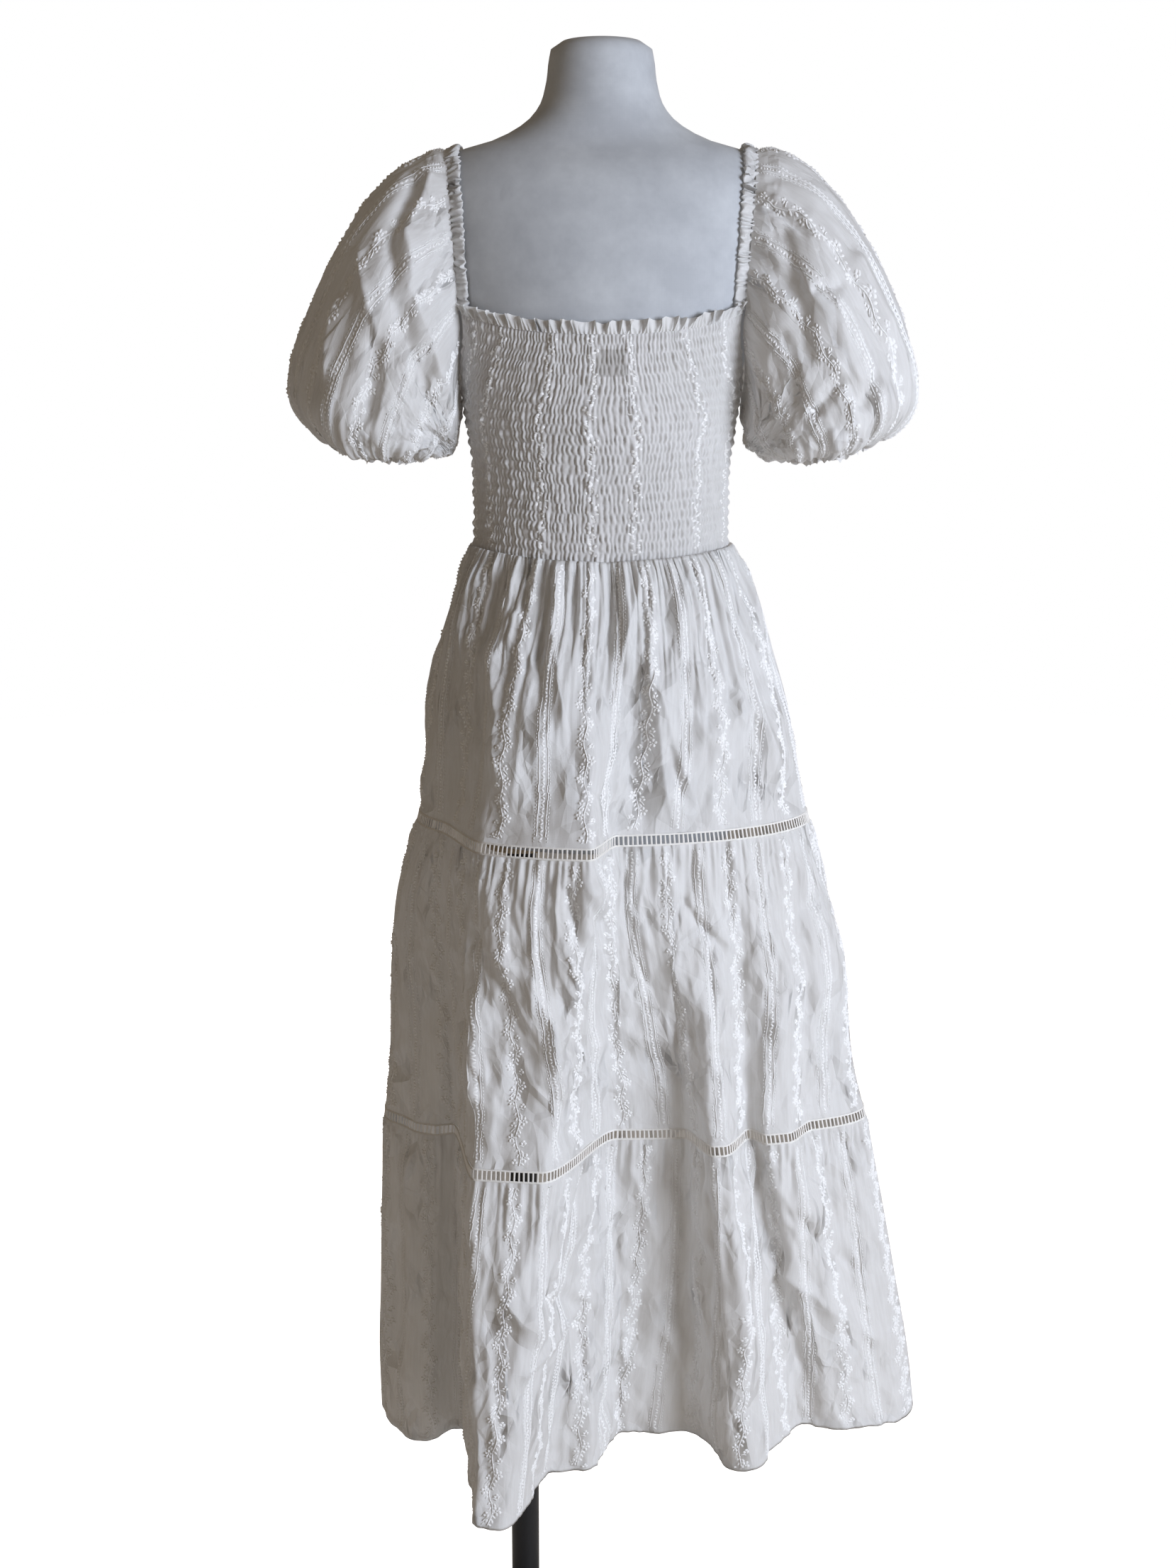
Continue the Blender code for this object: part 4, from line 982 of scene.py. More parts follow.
def casing(side):
    """The gathered elastic casing, a flattened tube that puckers between its stitches."""
    steps = 720
    coarse, coarse_out = shoulder_path(121, 0.995)
    along = np.concatenate([[0], np.cumsum(np.linalg.norm(np.diff(coarse, axis=0), axis=1))])
    place = np.linspace(0, along[-1], steps + 1)
    path, out = curve_through(along, coarse, place), unit(curve_through(along, coarse_out, place))
    forward = unit(np.gradient(path, axis=0))
    inward = unit(np.cross(out, forward))
    inward = inward * np.where(inward[:, :1] > 0, -1, 1)
    seed = 81 if side == "left" else 82
    u = place / CASING_PLEAT
    run = u + 0.45 * blur(0.6 * u, 0 * u, seed)
    size = 1 + 0.8 * blur(0.8 * run, 0 * run, seed + 1)
    rows = []
    for across, rise in CASING_SECTION:
        lean = 1.6 * blur(0.7 * u, 0 * u + 2.5 * across, seed + 2) + 1.2 * across
        pucker = 0.00150 * size * np.cos(2 * math.pi * (run + 0.3 * lean))
        pucker = pucker + 0.0006 * blur(2.1 * u, 0 * u + 4 * across, seed + 3)
        lift = 0.0014 + 0.0030 * rise + pucker * min(1, 0.35 + rise)
        ragged = 0.0007 * size * np.cos(2 * math.pi * run + 1)
        ragged = ragged + 0.0009 * blur(0.8 * u, 0 * u + 3 * across, seed + 4)
        swell = CASING_WIDTH * across - 0.0032 + ragged * (across - 0.5) * 2
        rows.append(path + inward * swell[:, None] + out * lift[:, None])
    points = np.array(rows)
    flat = cut_size(points)
    shown = mirrored(points, side)
    flip = side == "right"
    cloth = sheet_mesh("casing_" + side + "_cloth", shown, flat, COTTON, flip=flip)
    piece = worn(cloth, "cotton_voile", "casing_" + side)


def resample(points, count):
    """Points at even steps round a closed chain."""
    points = np.vstack([points, points[:1]])
    along = np.concatenate([[0], np.cumsum(np.linalg.norm(np.diff(points, axis=0), axis=1))])
    steps = np.linspace(0, along[-1], count + 1)[:-1]
    return np.stack([np.interp(steps, along, points[:, k]) for k in range(3)], axis=1)


def armhole_loop(count):
    """The seam round the armhole: up the back panel's edge, over the shoulder and down the front's."""
    chains = []
    back_edge = (BACK_TOP_CORNER_Z, BACK_CORNER_TURN, -1)
    front_edge = (FRONT_TOP_CORNER_Z, FRONT_CORNER_TURN, 1)
    for corner_z, turn, sign in (back_edge, front_edge):
        z = np.linspace(UNDERARM_Z, corner_z, 48)
        angle = sign * np.clip(corner_turn(z, corner_z, turn) - 0.012, 0, None)
        chain = body_point(z, angle, 0.0036)
        ease = smooth((z - UNDERARM_Z) / 0.020)
        chain[:, 0] += 0.0012 * ease + 0.0030 * (1 - ease) - BODY_X
        chains.append(chain)
    path, out = shoulder_path(121)
    over = path + out * 0.0036
    over[:, 0] += 0.0012
    return resample(np.vstack([chains[0], over[4:-4], chains[1][::-1][:-1]]), count)


def sleeve_ring(outer_x, outer_z, inner_x, inner_z, depth, power, sag, count):
    """A ring of the sleeve between its outer and its underarm point, sagging before and behind."""
    angle = np.linspace(0, 2 * math.pi, 1441)[:-1]
    across = np.sign(np.cos(angle)) * np.abs(np.cos(angle)) ** (2 / power)
    along = np.sign(np.sin(angle)) * np.abs(np.sin(angle)) ** (2 / power)
    middle = np.array([(outer_x + inner_x) / 2, 0, (outer_z + inner_z) / 2])
    reach = np.array([(outer_x - inner_x) / 2, 0, (outer_z - inner_z) / 2])
    ring = middle - across[:, None] * reach + along[:, None] * np.array([0, -depth, 0])
    ring[:, 2] -= sag * along**2
    return resample(ring, count)


# The sleeves' main creases behind, as the skirt's are given
SLEEVE_CREASES = {
    "left": (
        (-0.156, 1.555, -0.177, 1.503, "ridge", 0.008, 0.0055),
        (-0.177, 1.503, -0.174, 1.453, "ridge", 0.008, 0.0055),
        (-0.174, 1.453, -0.139, 1.322, "ridge", 0.009, 0.0055),
        (-0.168, 1.551, -0.191, 1.499, "trough", 0.008, 0.0055),
        (-0.191, 1.499, -0.188, 1.449, "trough", 0.008, 0.0055),
        (-0.188, 1.449, -0.155, 1.333, "trough", 0.009, 0.0055),
        (-0.218, 1.485, -0.207, 1.413, "ridge", 0.007, 0.0050),
        (-0.241, 1.441, -0.253, 1.373, "ridge", 0.007, 0.0045),
        (-0.203, 1.403, -0.217, 1.333, "trough", 0.008, 0.0050),
    ),
    "right": (
        (0.155, 1.533, 0.190, 1.507, "ridge", 0.005, 0.0035),
        (0.150, 1.526, 0.185, 1.499, "trough", 0.005, 0.0045),
        (0.160, 1.507, 0.172, 1.450, "trough", 0.011, 0.0060),
        (0.172, 1.450, 0.186, 1.380, "trough", 0.009, 0.0045),
        (0.188, 1.449, 0.217, 1.455, "trough", 0.004, 0.0035),
        (0.192, 1.339, 0.216, 1.373, "trough", 0.006, 0.0055),
        (0.234, 1.345, 0.251, 1.377, "trough", 0.006, 0.0045),
        (0.209, 1.326, 0.216, 1.306, "ridge", 0.004, 0.0035),
        (0.225, 1.349, 0.229, 1.326, "ridge", 0.004, 0.0035),
        (0.230, 1.481, 0.265, 1.413, "ridge", 0.008, 0.0050),
        (0.160, 1.413, 0.178, 1.343, "trough", 0.008, 0.0050),
        (0.205, 1.440, 0.232, 1.372, "ridge", 0.007, 0.0045),
    ),
}

# How much wider the sleeve's cloth is than its widest ring, and the grid it is worked out on
SLEEVE_EASE = 1.05
SLEEVE_COLUMNS, SLEEVE_ROWS = 280, 116
# How far from the armhole and from the cuff the finest gathers run out
ARMHOLE_GATHER, CUFF_GATHER = 0.020, 0.010


def sleeve_form(side):
    """The sleeve's smooth form, a closed grid from its armhole to its drawn-in edge, and its length."""
    reach = SLEEVE_REACH[side]
    rings = [armhole_loop(SLEEVE_COLUMNS)]
    for outer_x, *shape in SLEEVE_RINGS:
        rings.append(sleeve_ring(outer_x * reach, *shape, SLEEVE_COLUMNS))
    rings = np.array(rings)
    steps = np.linalg.norm(np.diff(rings, axis=0), axis=-1).mean(axis=1)
    stations = np.concatenate([[0], np.cumsum(steps)])
    return curve_through(stations, rings, np.linspace(0, stations[-1], SLEEVE_ROWS + 1)), stations[-1]


def points_in(points, out):
    """Whether a closed grid's outward directions point in instead."""
    return bool(np.mean(np.sum(out * (points - points.mean(axis=1, keepdims=True)), axis=-1)) < 0)


def cuff_frill(seam, across, seed):
    """The small frill below the elastic, pleated from the sleeve's last row."""
    spoke = seam - seam.mean(axis=0)
    spoke[:, 2] = 0
    spoke = unit(spoke)
    run = across * 26
    rings = []
    for k in range(9):
        drop = k / 8
        fold = 2 * math.pi * (run + 0.5 * blur(0.7 * run, 0 * run, seed + 9))
        flare = 0.0030 * (0.75 + 0.25 * drop) * np.cos(fold) + 0.0009 * (1 - drop) * np.cos(2 * fold + 1)
        nipped = 0.0016 * math.sin(math.pi * min(1, drop * 3))
        flare = flare * (1 + 0.5 * blur(run, 0 * run, seed + 10)) - nipped
        ring = seam + spoke * (flare - 0.0004)[:, None]
        ring[:, 2] += 0.0006 - 0.0125 * drop * (1 + 0.12 * blur(0.9 * run, 0 * run, seed + 11))
        rings.append(ring)
    return np.array(rings)


def sleeve(side):
    """The puff sleeve with its embroidery, and its cuff."""
    points, length = sleeve_form(side)
    width = widths(points, True)
    flat_width = width.max() * SLEEVE_EASE
    seed = 21 if side == "left" else 31
    across, down = np.linspace(0, 1, SLEEVE_COLUMNS + 1)[:-1], np.linspace(0, length, SLEEVE_ROWS + 1)
    s, t = across[None, :] * flat_width, down[:, None]

    # Gathers and crumples, which meet again where the sleeve closes
    near_top = np.exp(-down / ARMHOLE_GATHER)[:, None]
    near_foot = np.exp(-(length - down) / CUFF_GATHER)[:, None]
    fine = np.clip(0.55 * near_top + 0.7 * near_foot, 0, 1)
    middle = (1 - fine) * (0.25 * near_top**0.5 + 0.30 * near_foot**0.6)
    coarse = np.clip(0.04 + 0.30 * near_top**0.2, 0, 1) * (1 - fine - middle)
    rise = gathers(width, flat_width, across, down, zip((36, 15, 7), (fine, middle, coarse)), seed)
    blend = smooth((across - 0.96) / 0.04)[None, :]
    rise = rise * (1 - blend) + rise[:, :1] * blend
    small = crumples(s, t, seed + 5, 0.95)
    small = (small * (1 - blend) + small[:, :1] * blend) * smooth(t / 0.02) * smooth((length - t) / 0.01)
    rise = rise * 0.45 * (0.25 + 0.75 * smooth(t / 0.015)) + 0.4 * small
    underarm = (np.minimum(across, 1 - across) * 2 < 0.12)[None, :]
    rise = np.maximum(rise, -0.006) * (1 - 0.6 * near_top * underarm)
    out = outward(points, True)
    reach = (-0.008, 0.006)
    if points_in(points, out):
        out, reach = -out, (-0.006, 0.008)

    # Let slack between the armhole, the cuff and the underarm seam
    base = np.concatenate([points, points[:, :1]], axis=1)
    start = points + out * rise[..., None]
    start = np.concatenate([start, start[:, :1]], axis=1)
    held = np.zeros(start.shape[:2])
    held[0] = held[-1] = held[:, 0] = held[:, -1] = 1
    loose = settled(base, start, flat_width, held, 40, 0.35, reach)
    calm = smooth((t - 0.004) / 0.035) * (0.42 + 0.58 * near_foot)
    loose = base + (loose - base) * calm[..., None]
    points = loose[:, :-1] + out * (0.8 * small + puckers(s, t, flat_width, seed + 60))[..., None]

    flat = (flat_width, length)
    shown = mirrored(points, side)
    out = outward(shown, True)
    flip = points_in(shown, out)
    behind = smooth(-shown[..., 1] / 0.030)[..., None]
    shown = shown + (creased(shown, -out if flip else out, SLEEVE_CREASES[side]) - shown) * behind
    cloth = sheet_mesh("sleeve_" + side + "_cloth", shown, flat, COTTON, closed=True, flip=flip)
    piece = worn(cloth, "cotton_voile", "sleeve_" + side)
    seamed = np.concatenate([shown, shown[:, :1]], axis=1)
    sewn = embroidery("sleeve_" + side + "_embroidery", seamed, flat, seed, flip=flip)

    frill = cuff_frill(points[-1], across, seed)
    size = cut_size(frill, True)
    shown = mirrored(frill, side)
    cloth = sheet_mesh("cuff_" + side + "_cloth", shown, size, COTTON, closed=True, flip=flip)
    piece = worn(cloth, "cotton_voile", "cuff_" + side)


# The form and its stand


def form_body():
    """The form's canvas, one closed skin with slightly domed ends."""
    columns, rows = 96, 110
    heights = [row[0] for row in FORM_SECTIONS]
    angle = np.linspace(0, 2 * math.pi, columns + 1)[:-1]
    z, angle = np.meshgrid(np.linspace(heights[-1], heights[0], rows + 1), angle, indexing="ij")
    points = body_point(z, angle, 0)
    top, foot = points[:1], points[-1:]
    caps_top, caps_foot = [], []
    for share in (0.02, 0.3, 0.6, 0.85, 0.96):
        ring = top * share + top.mean(axis=1, keepdims=True) * (1 - share)
        ring[..., 2] = heights[-1] + 0.0002 * (1 - share**2)
        caps_top.append(ring)
    for share in (0.97, 0.6, 0.02):
        caps_foot.append(foot * share + foot.mean(axis=1, keepdims=True) * (1 - share))
    points = np.concatenate(caps_top + [points] + caps_foot)
    piece = sheet_mesh("form_canvas_body", points, (0.85, 0.85), CANVAS, closed=True, flip=True)
    return worn(piece, "form_canvas", "dress_form")


def turned_piece(name, profile, material, slot, node, sides=64):
    """A round piece about the pole's line, from a profile of radii and heights, top to bottom."""
    angle = np.linspace(0, 2 * math.pi, sides + 1)[:-1]
    r, z = (np.array(column)[:, None] for column in zip(*profile))
    x = POLE_X + r * np.cos(angle)[None, :]
    points = np.stack([x, r * np.sin(angle)[None, :], z + 0 * x], axis=-1)
    piece = sheet_mesh(name, points, (0.2, 1.0), material, closed=True, flip=True)
    return worn(piece, slot, node)


def stand():
    """The board under the form, its pole, and the round plate that it stands on."""
    tiny = 0.0002
    collar = (
        (tiny, 0.9296), (0.031, 0.9296), (0.0334, 0.9288), (0.034, 0.9270),
        (0.034, 0.9180), (0.0334, 0.9164), (0.031, 0.9157), (0.0150, 0.9157),
    )
    turned_piece("form_collar_board", collar, BOARD, "form_board", "form_collar")
    pole = [(0.0145, z) for z in np.linspace(0.9154, 0.0120, 12)] + [(0.0150, 0.0104)]
    turned_piece("form_pole_tube", pole, BLACK_PAINT, "black_paint", "form_pole")
    base = (
        (0.0150, 0.0150), (0.0260, 0.0150), (0.0275, 0.0140), (0.0280, 0.0104), (0.1780, 0.0100),
        (0.1815, 0.0094), (0.1838, 0.0078), (0.1850, 0.0052), (0.1850, 0.0012), (0.1840, 0.0), (tiny, 0.0),
    )
    turned_piece("form_base_plate", base, BLACK_PAINT, "black_paint", "form_base", 96)


# Materials


def colour(code):
    """A linear colour from its sRGB hex value."""
    values = [int(code[k : k + 2], 16) / 255 for k in (0, 2, 4)]
    return tuple(v / 12.92 if v <= 0.04045 else ((v + 0.055) / 1.055) ** 2.4 for v in values) + (1.0,)


def node(tree, kind, inputs=None, **settings):
    """A node with its settings. Each input is given as a value, or as the socket that feeds it."""
    made = tree.nodes.new("ShaderNode" + kind)
    for name, value in settings.items():
        setattr(made, name, value)
    for name, value in (inputs or {}).items():
        if isinstance(value, bpy.types.NodeSocket):
            tree.links.new(value, made.inputs[name])
        else:
            made.inputs[name].default_value = value
    return made


def blank(name):
    """A new material's tree, with its output."""
    material = bpy.data.materials.new(name)
    material.use_nodes = True
    material.node_tree.nodes.clear()
    return material, material.node_tree, node(material.node_tree, "OutputMaterial")


# A wave texture's bands lie this far apart at scale 1
WAVE_BAND = math.pi / 10


def plain_weave(tree, pitch, crinkle, depth):
    """Bump of crossing threads at a pitch, over slubs that run down the cloth, and the slubs themselves."""
    place = node(tree, "UVMap", uv_map="flat_cloth").outputs["UV"]
    weave = {"Vector": place, "Scale": WAVE_BAND / pitch, "Distortion": 1.2, "Detail": 1.0}
    warp = node(tree, "TexWave", weave, bands_direction="X").outputs["Fac"]
    weft = node(tree, "TexWave", weave, bands_direction="Y").outputs["Fac"]
    cloth = node(tree, "Math", {0: warp, 1: weft}, operation="MULTIPLY").outputs[0]
    stretch = {"Vector": place, "Scale": (1 / crinkle, 0.10 / crinkle, 1)}
    drawn = node(tree, "Mapping", stretch).outputs[0]
    noise = {"Vector": drawn, "Scale": 1.0, "Detail": 3.0, "Distortion": 0.4}
    slubs = node(tree, "TexNoise", noise).outputs["Fac"]
    low = node(tree, "Bump", {"Height": slubs, "Strength": 0.35, "Distance": depth * 3}).outputs[0]
    woven = {"Height": cloth, "Strength": 0.35, "Distance": depth, "Normal": low}
    return node(tree, "Bump", woven).outputs[0], slubs


def crushed(tree, size, turn, depth, below):
    """Bump of crushed cloth in patches: facets about a size across, with sharp creases where they meet."""
    place = node(tree, "UVMap", uv_map="flat_cloth").outputs["UV"]
    drift = node(tree, "TexNoise", {"Vector": place, "Scale": 0.7 / size, "Detail": 1.0}).outputs["Color"]
    drift = node(tree, "VectorMath", {0: drift, "Scale": 0.45 * size}, operation="SCALE").outputs[0]
    moved = node(tree, "VectorMath", {0: place, 1: drift}, operation="ADD").outputs[0]
    stretch = {"Vector": moved, "Rotation": (0, 0, turn), "Scale": (1 / size, 0.62 / size, 1)}
    turned = node(tree, "Mapping", stretch).outputs[0]
    net = {"voronoi_dimensions": "2D", "distance": "MANHATTAN"}
    near = node(tree, "TexVoronoi", {"Vector": turned, "Scale": 1.0}, feature="F1", **net)
    far = node(tree, "TexVoronoi", {"Vector": turned, "Scale": 1.0}, feature="F2", **net)
    both = {0: far.outputs["Distance"], 1: near.outputs["Distance"]}
    lift = node(tree, "Math", both, operation="SUBTRACT").outputs[0]
    share = node(tree, "SeparateColor", {"Color": near.outputs["Color"]}).outputs[0]
    share = node(tree, "Math", {0: share, 1: 0.5}, operation="SUBTRACT").outputs[0]
    cloud = node(tree, "TexNoise", {"Vector": place, "Scale": 0.33 / size, "Detail": 1.0}).outputs["Fac"]
    span = {"Value": cloud, "From Min": 0.44, "From Max": 0.60, "To Min": 0.12}
    patch = node(tree, "MapRange", span).outputs[0]
    share = node(tree, "Math", {0: share, 1: patch}, operation="MULTIPLY").outputs[0]
    height = node(tree, "Math", {0: lift, 1: share}, operation="MULTIPLY").outputs[0]
    bump = {"Height": height, "Strength": 1.0, "Distance": depth, "Normal": below}
    return node(tree, "Bump", bump).outputs[0]


def darker_patch(tree, tone, middle, half):
    """A tone darkened over a plain rectangle of the flat cloth, where a second layer lies behind it."""
    place = node(tree, "UVMap", uv_map="flat_cloth").outputs["UV"]
    place = node(tree, "SeparateXYZ", {0: place})
    inside = []
    for k in (0, 1):
        off = node(tree, "Math", {0: place.outputs[k], 1: middle[k]}, operation="SUBTRACT").outputs[0]
        off = node(tree, "Math", {0: off}, operation="ABSOLUTE").outputs[0]
        edge = {"Value": off, "From Min": half[k], "From Max": half[k] + 0.002, "To Min": 1.0, "To Max": 0.0}
        inside.append(node(tree, "MapRange", edge).outputs[0])
    both = node(tree, "Math", {0: inside[0], 1: inside[1]}, operation="MULTIPLY").outputs[0]
    return node(tree, "Mix", {0: both, 6: tone, 7: colour("BFBCB8")}, data_type="RGBA").outputs[2]


def woven_cotton(name, light, shade, sheer, rough=0.9, worn_in=False, doubled=None):
    """Plain-woven cotton: matt, a little sheer, with a bloom at grazing angles, crushed by wear."""
    material, tree, output = blank(name)
    # voile threads lie 0.35 mm apart, too fine to show, so they are drawn at 0.9 mm
    bump, slubs = plain_weave(tree, 0.0009, 0.0030, 0.00012)
    if worn_in:
        # facets about 44 mm across under others of about 20 mm that are turned the other way
        bump = crushed(tree, 0.044, 0.50, 0.0270, bump)
        bump = crushed(tree, 0.020, -0.65, 0.0085, bump)
    place = node(tree, "TexCoord").outputs["Object"]
    noise = {"Vector": place, "Scale": 9.0, "Detail": 4.0, "Roughness": 0.6}
    blotch = node(tree, "TexNoise", noise).outputs["Fac"]
    mixed = node(tree, "Math", {0: blotch, 1: slubs}, operation="ADD").outputs[0]
    spread = node(tree, "MapRange", {"Value": mixed, "From Min": 0.75, "From Max": 1.25}).outputs[0]
    tone = node(tree, "Mix", {0: spread, 6: colour(shade), 7: colour(light)}, data_type="RGBA").outputs[2]
    if doubled:
        tone = darker_patch(tree, tone, *doubled)
    finish = {
        "Base Color": tone, "Roughness": rough, "IOR": 1.45, "Normal": bump,
        "Sheen Weight": 0.15, "Sheen Roughness": 0.5, "Specular IOR Level": 0.25,
    }
    cloth = node(tree, "BsdfPrincipled", finish)
    through = node(tree, "BsdfTranslucent", {"Color": tone, "Normal": bump})
    both = node(tree, "MixShader", {0: sheer, 1: cloth.outputs[0], 2: through.outputs[0]})
    tree.links.new(both.outputs[0], output.inputs["Surface"])
    return material


def satin_thread(name, light, shade):
    """Mercerised cotton embroidery thread: tight satin stitches, brighter and smoother than the cloth."""
    material, tree, output = blank(name)
    place = node(tree, "TexCoord").outputs["Object"]
    # stitches lie 0.25 mm apart, drawn at 0.5 mm so that they show
    strands = {"Vector": place, "Scale": WAVE_BAND / 0.0005, "Distortion": 3.0, "Detail": 1.0}
    lines = node(tree, "TexWave", strands, bands_direction="DIAGONAL").outputs["Fac"]
    bump = node(tree, "Bump", {"Height": lines, "Strength": 0.35, "Distance": 0.0001}).outputs[0]
    # the tone follows the stitch lines, lighter on their crowns and darker in the grooves between them:
    # painted shade in the grooves
    tone = node(tree, "Mix", {0: lines, 6: colour(shade), 7: colour(light)}, data_type="RGBA").outputs[2]
    finish = {
        "Base Color": tone, "Roughness": 0.62, "IOR": 1.5, "Normal": bump,
        "Sheen Weight": 0.2, "Sheen Roughness": 0.4, "Specular IOR Level": 0.35,
    }
    shader = node(tree, "BsdfPrincipled", finish)
    tree.links.new(shader.outputs[0], output.inputs["Surface"])
    return material


def stretched_canvas(name):
    """Fine grey-blue cotton canvas stretched over padding: dead matt, rubbed and spotted by use."""
    material, tree, output = blank(name)
    place = node(tree, "TexCoord").outputs["Object"]
    # canvas threads lie 0.5 mm apart, drawn at 1.1 mm so that they show
    weave = {"Vector": place, "Scale": WAVE_BAND / 0.0011, "Distortion": 0.8, "Detail": 1.0}
    warp = node(tree, "TexWave", weave, bands_direction="X").outputs["Fac"]
    weft = node(tree, "TexWave", weave, bands_direction="Z").outputs["Fac"]
    cloth = node(tree, "Math", {0: warp, 1: weft}, operation="MULTIPLY").outputs[0]
    noise = {"Vector": place, "Scale": 7.0, "Detail": 6.0, "Roughness": 0.68}
    large = node(tree, "TexNoise", noise).outputs["Fac"]
    rubbed = node(tree, "MapRange", {"Value": large, "From Min": 0.38, "From Max": 0.62}).outputs[0]
    tall = node(tree, "Mapping", {"Vector": place, "Scale": (34.0, 34.0, 9.0)}).outputs[0]
    streaks = node(tree, "TexNoise", {"Vector": tall, "Scale": 1.0, "Detail": 4.0}).outputs["Fac"]
    span = {"Value": streaks, "From Min": 0.66, "From Max": 0.78, "To Max": 0.35}
    marks = node(tree, "MapRange", span).outputs[0]
    tones = {0: rubbed, 6: colour("B3B6BA"), 7: colour("CACDD0")}
    tone = node(tree, "Mix", tones, data_type="RGBA").outputs[2]
    worn_tone = node(tree, "Mix", {0: marks, 6: tone, 7: colour("85868C")}, data_type="RGBA").outputs[2]
    bump = node(tree, "Bump", {"Height": cloth, "Strength": 0.25, "Distance": 0.00012}).outputs[0]
    finish = {
        "Base Color": worn_tone, "Roughness": 0.93, "IOR": 1.45, "Normal": bump,
        "Sheen Weight": 0.1, "Specular IOR Level": 0.2,
    }
    shader = node(tree, "BsdfPrincipled", finish)
    tree.links.new(shader.outputs[0], output.inputs["Surface"])
    return material


def enamelled_steel(name):
    """Black stoving enamel on drawn steel: near-black with a soft, slightly uneven gloss."""
    material, tree, output = blank(name)
    place = node(tree, "TexCoord").outputs["Object"]
    peel = node(tree, "TexNoise", {"Vector": place, "Scale": 260.0, "Detail": 2.0}).outputs["Fac"]
    dust = node(tree, "TexNoise", {"Vector": place, "Scale": 22.0, "Detail": 5.0}).outputs["Fac"]
    span = {"Value": dust, "From Min": 0.3, "From Max": 0.7, "To Min": 0.30, "To Max": 0.46}
    rough = node(tree, "MapRange", span).outputs[0]
    tones = {0: dust, 6: colour("0B0B0C"), 7: colour("17171A")}
    tone = node(tree, "Mix", tones, data_type="RGBA").outputs[2]
    bump = node(tree, "Bump", {"Height": peel, "Strength": 0.15, "Distance": 0.0002}).outputs[0]
    finish = {"Base Color": tone, "Roughness": rough, "IOR": 1.5, "Normal": bump}
    shader = node(tree, "BsdfPrincipled", finish)
    tree.links.new(shader.outputs[0], output.inputs["Surface"])
    return material


def sawn_board(name):
    """Pale beech-faced board, sanded and left bare: fine straight grain, no gloss."""
    material, tree, output = blank(name)
    place = node(tree, "TexCoord").outputs["Object"]
    # rings show as straight lines 2.8 mm apart
    rings = {"Vector": place, "Scale": WAVE_BAND / 0.0028, "Distortion": 5.0}
    rings.update({"Detail": 3.0, "Detail Scale": 0.6})
    grain = node(tree, "TexWave", rings, bands_direction="X").outputs["Fac"]
    tones = {0: grain, 6: colour("AF9A7D"), 7: colour("C6B394")}
    tone = node(tree, "Mix", tones, data_type="RGBA").outputs[2]
    bump = node(tree, "Bump", {"Height": grain, "Strength": 0.2, "Distance": 0.0002}).outputs[0]
    finish = {"Base Color": tone, "Roughness": 0.68, "IOR": 1.5, "Normal": bump}
    shader = node(tree, "BsdfPrincipled", finish)
    tree.links.new(shader.outputs[0], output.inputs["Surface"])
    return material


def matt_floor(name):
    """Pale matt paint that lights the cloth as such, while the camera sees it as bright as the surround."""
    material, tree, output = blank(name)
    place = node(tree, "TexCoord").outputs["Object"]
    haze = node(tree, "TexNoise", {"Vector": place, "Scale": 2.0, "Detail": 3.0}).outputs["Fac"]
    tones = {0: haze, 6: colour("DAD6D0"), 7: colour("E0DDD8")}
    tone = node(tree, "Mix", tones, data_type="RGBA").outputs[2]
    paint = node(tree, "BsdfPrincipled", {"Base Color": tone, "Roughness": 0.95, "Specular IOR Level": 0.0})
    glow = node(tree, "Emission", {"Color": colour("FFFFFF"), "Strength": 1.15}).outputs[0]
    bright = node(tree, "AddShader", {0: paint.outputs[0], 1: glow}).outputs[0]
    sight = node(tree, "LightPath").outputs["Is Camera Ray"]
    both = node(tree, "MixShader", {0: sight, 1: paint.outputs[0], 2: bright})
    tree.links.new(both.outputs[0], output.inputs["Surface"])
    return material


# Where a second layer lies behind the smocking: the middle and the half sizes of the place on its flat cloth
SECOND_LAYER = ((0.2655, -0.0275), (0.020, 0.011))
COTTON = woven_cotton("woven_cotton_voile", "ECEBE9", "E3E1DE", 0.22, worn_in=True)
# The smocking is the same voile as the rest, given greyer tones: painted shade for the many small shadows
# among its pleats
SMOCKED_PAINTED_SHADE = woven_cotton("shirred_cotton_voile_painted_shade", "DEDCDA", "D3D1CE", 0.12, doubled=SECOND_LAYER)
LADDER_LACE = woven_cotton("twisted_cotton_ladder_lace", "F3F0EB", "E9E5DE", 0.05)
THREAD = satin_thread("mercerised_cotton_thread_painted_groove_shade", "F8F7F5", "E8E6E3")
CANVAS = stretched_canvas("stretched_cotton_canvas")
BLACK_PAINT = enamelled_steel("black_enamelled_steel")
BOARD = sawn_board("sanded_beech_board")
FLOOR = matt_floor("matt_white_floor")

# The pieces

for row in TIERS:
    tier(*row)
bodice_back()
bodice_front()
neck_ruffle()
for side in ("left", "right"):
    casing(side)
    sleeve(side)
form_body()
stand()

# Floor, light and camera

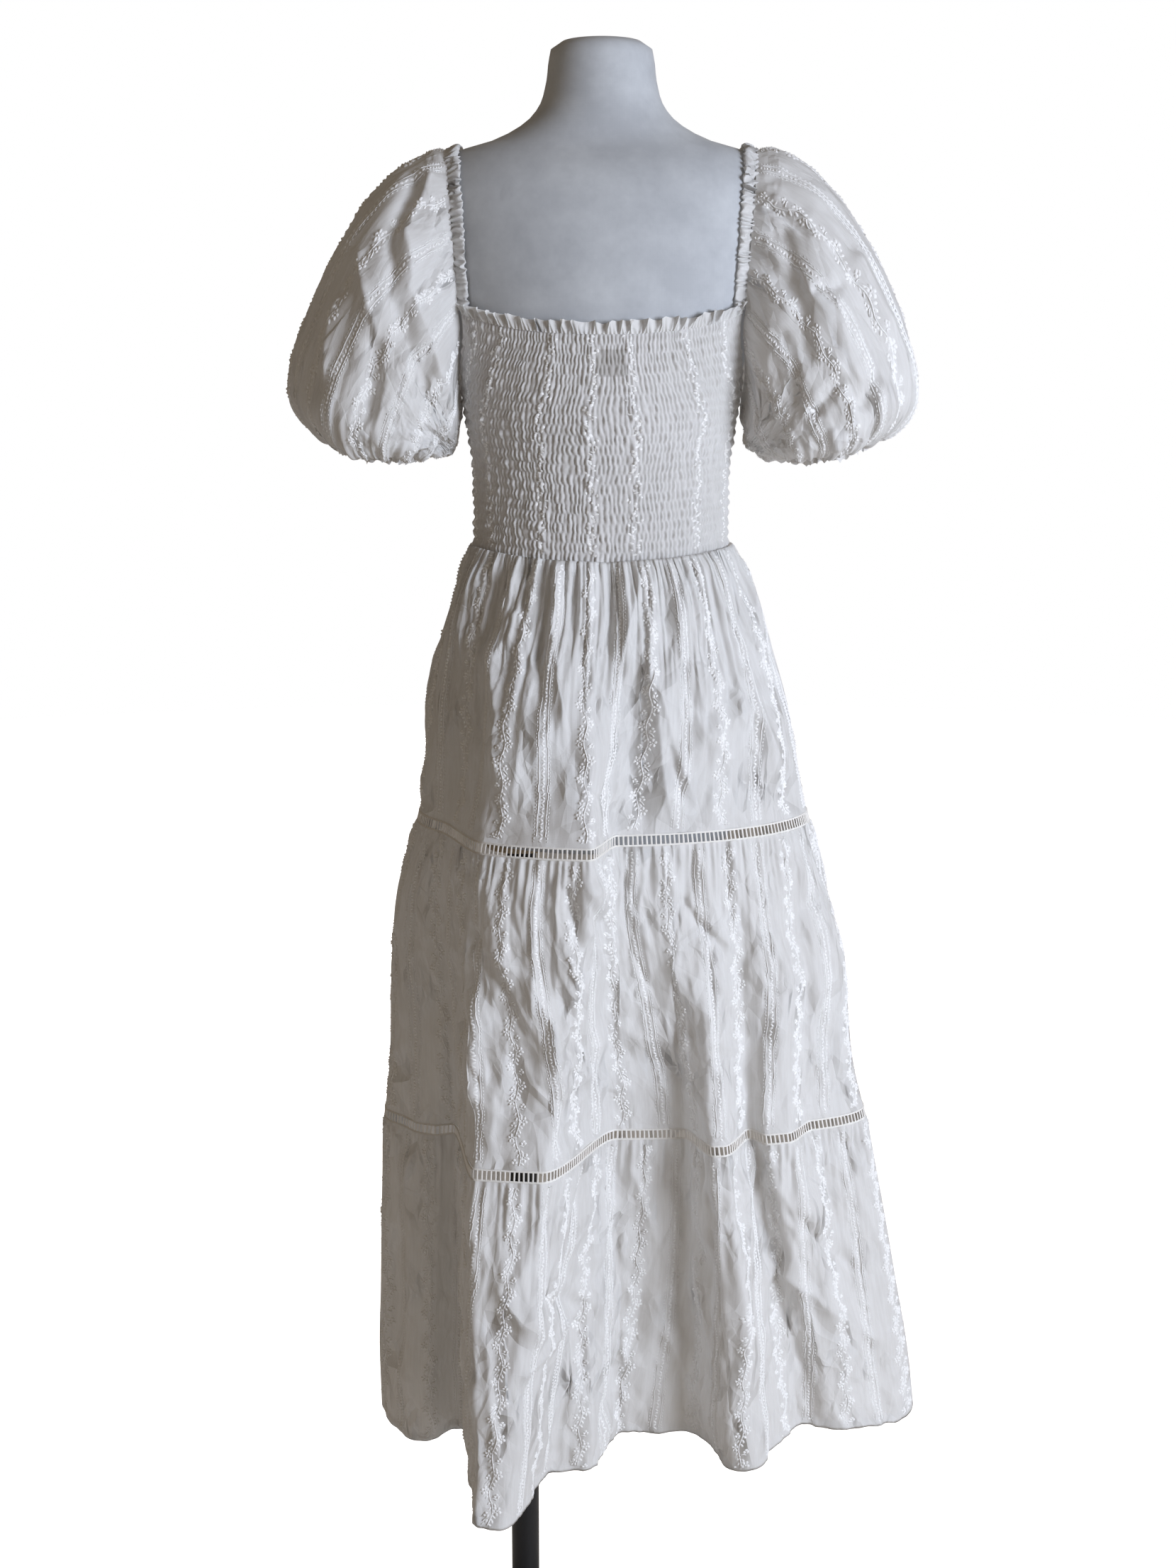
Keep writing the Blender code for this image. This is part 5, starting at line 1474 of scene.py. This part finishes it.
bpy.ops.mesh.primitive_circle_add(vertices=96, radius=7.0, fill_type="NGON")
floor = bpy.context.object
floor.name = "floor"
floor.data.materials.append(FLOOR)

world = bpy.data.worlds.new("soft_white_surround")
bpy.context.scene.world = world
world.use_nodes = True
room = world.node_tree
background = room.nodes["Background"]
background.inputs["Color"].default_value = colour("FFEBD2")
background.inputs["Strength"].default_value = 0.19
seen = node(room, "Background", {"Color": colour("FFFFFF"), "Strength": 1.0}).outputs[0]
sight = node(room, "LightPath").outputs["Is Camera Ray"]
surround = node(room, "MixShader", {0: sight, 1: background.outputs[0], 2: seen})
room.links.new(surround.outputs[0], room.nodes["World Output"].inputs["Surface"])


def soft_light(name, place, aim, size, power, tint):
    """A round area light of a size in metres and a power in watts, turned to what it lights."""
    light = bpy.data.lights.new(name, "AREA")
    light.shape = "DISK"
    light.size = size
    light.energy = power
    light.color = colour(tint)[:3]
    lamp = bpy.data.objects.new(name, light)
    bpy.context.collection.objects.link(lamp)
    lamp.location = place
    lamp.rotation_euler = (Vector(aim) - Vector(place)).to_track_quat("-Z", "Y").to_euler()


soft_light("window_right", (2.06, -1.99, 1.55), (0.0, 0.0, 0.8), 1.4, 86.0, "E1EAFA")
soft_light("room_front", (0.5, 2.9, 1.9), (0.0, 0.0, 0.9), 2.0, 42.0, "FFF4E8")

# The camera, as the photograph was taken: its focal length is in pixels of a frame 2212 high, and it looks
# down by its tilt
PHOTO_HEIGHT = 2212
FOCAL_PIXELS = 2835
SENSOR_HEIGHT = 24.0
CAMERA_PLACE = (-0.0135, -1.95, 1.355)
CAMERA_TILT = 10.9
lens = bpy.data.cameras.new("camera")
lens.sensor_fit = "VERTICAL"
lens.sensor_height = SENSOR_HEIGHT
lens.lens = SENSOR_HEIGHT * FOCAL_PIXELS / PHOTO_HEIGHT
camera = bpy.data.objects.new("camera", lens)
bpy.context.collection.objects.link(camera)
camera.location = CAMERA_PLACE
camera.rotation_euler = (math.radians(90 - CAMERA_TILT), 0, 0)
bpy.context.scene.camera = camera
bpy.context.scene.view_settings.view_transform = "Standard"
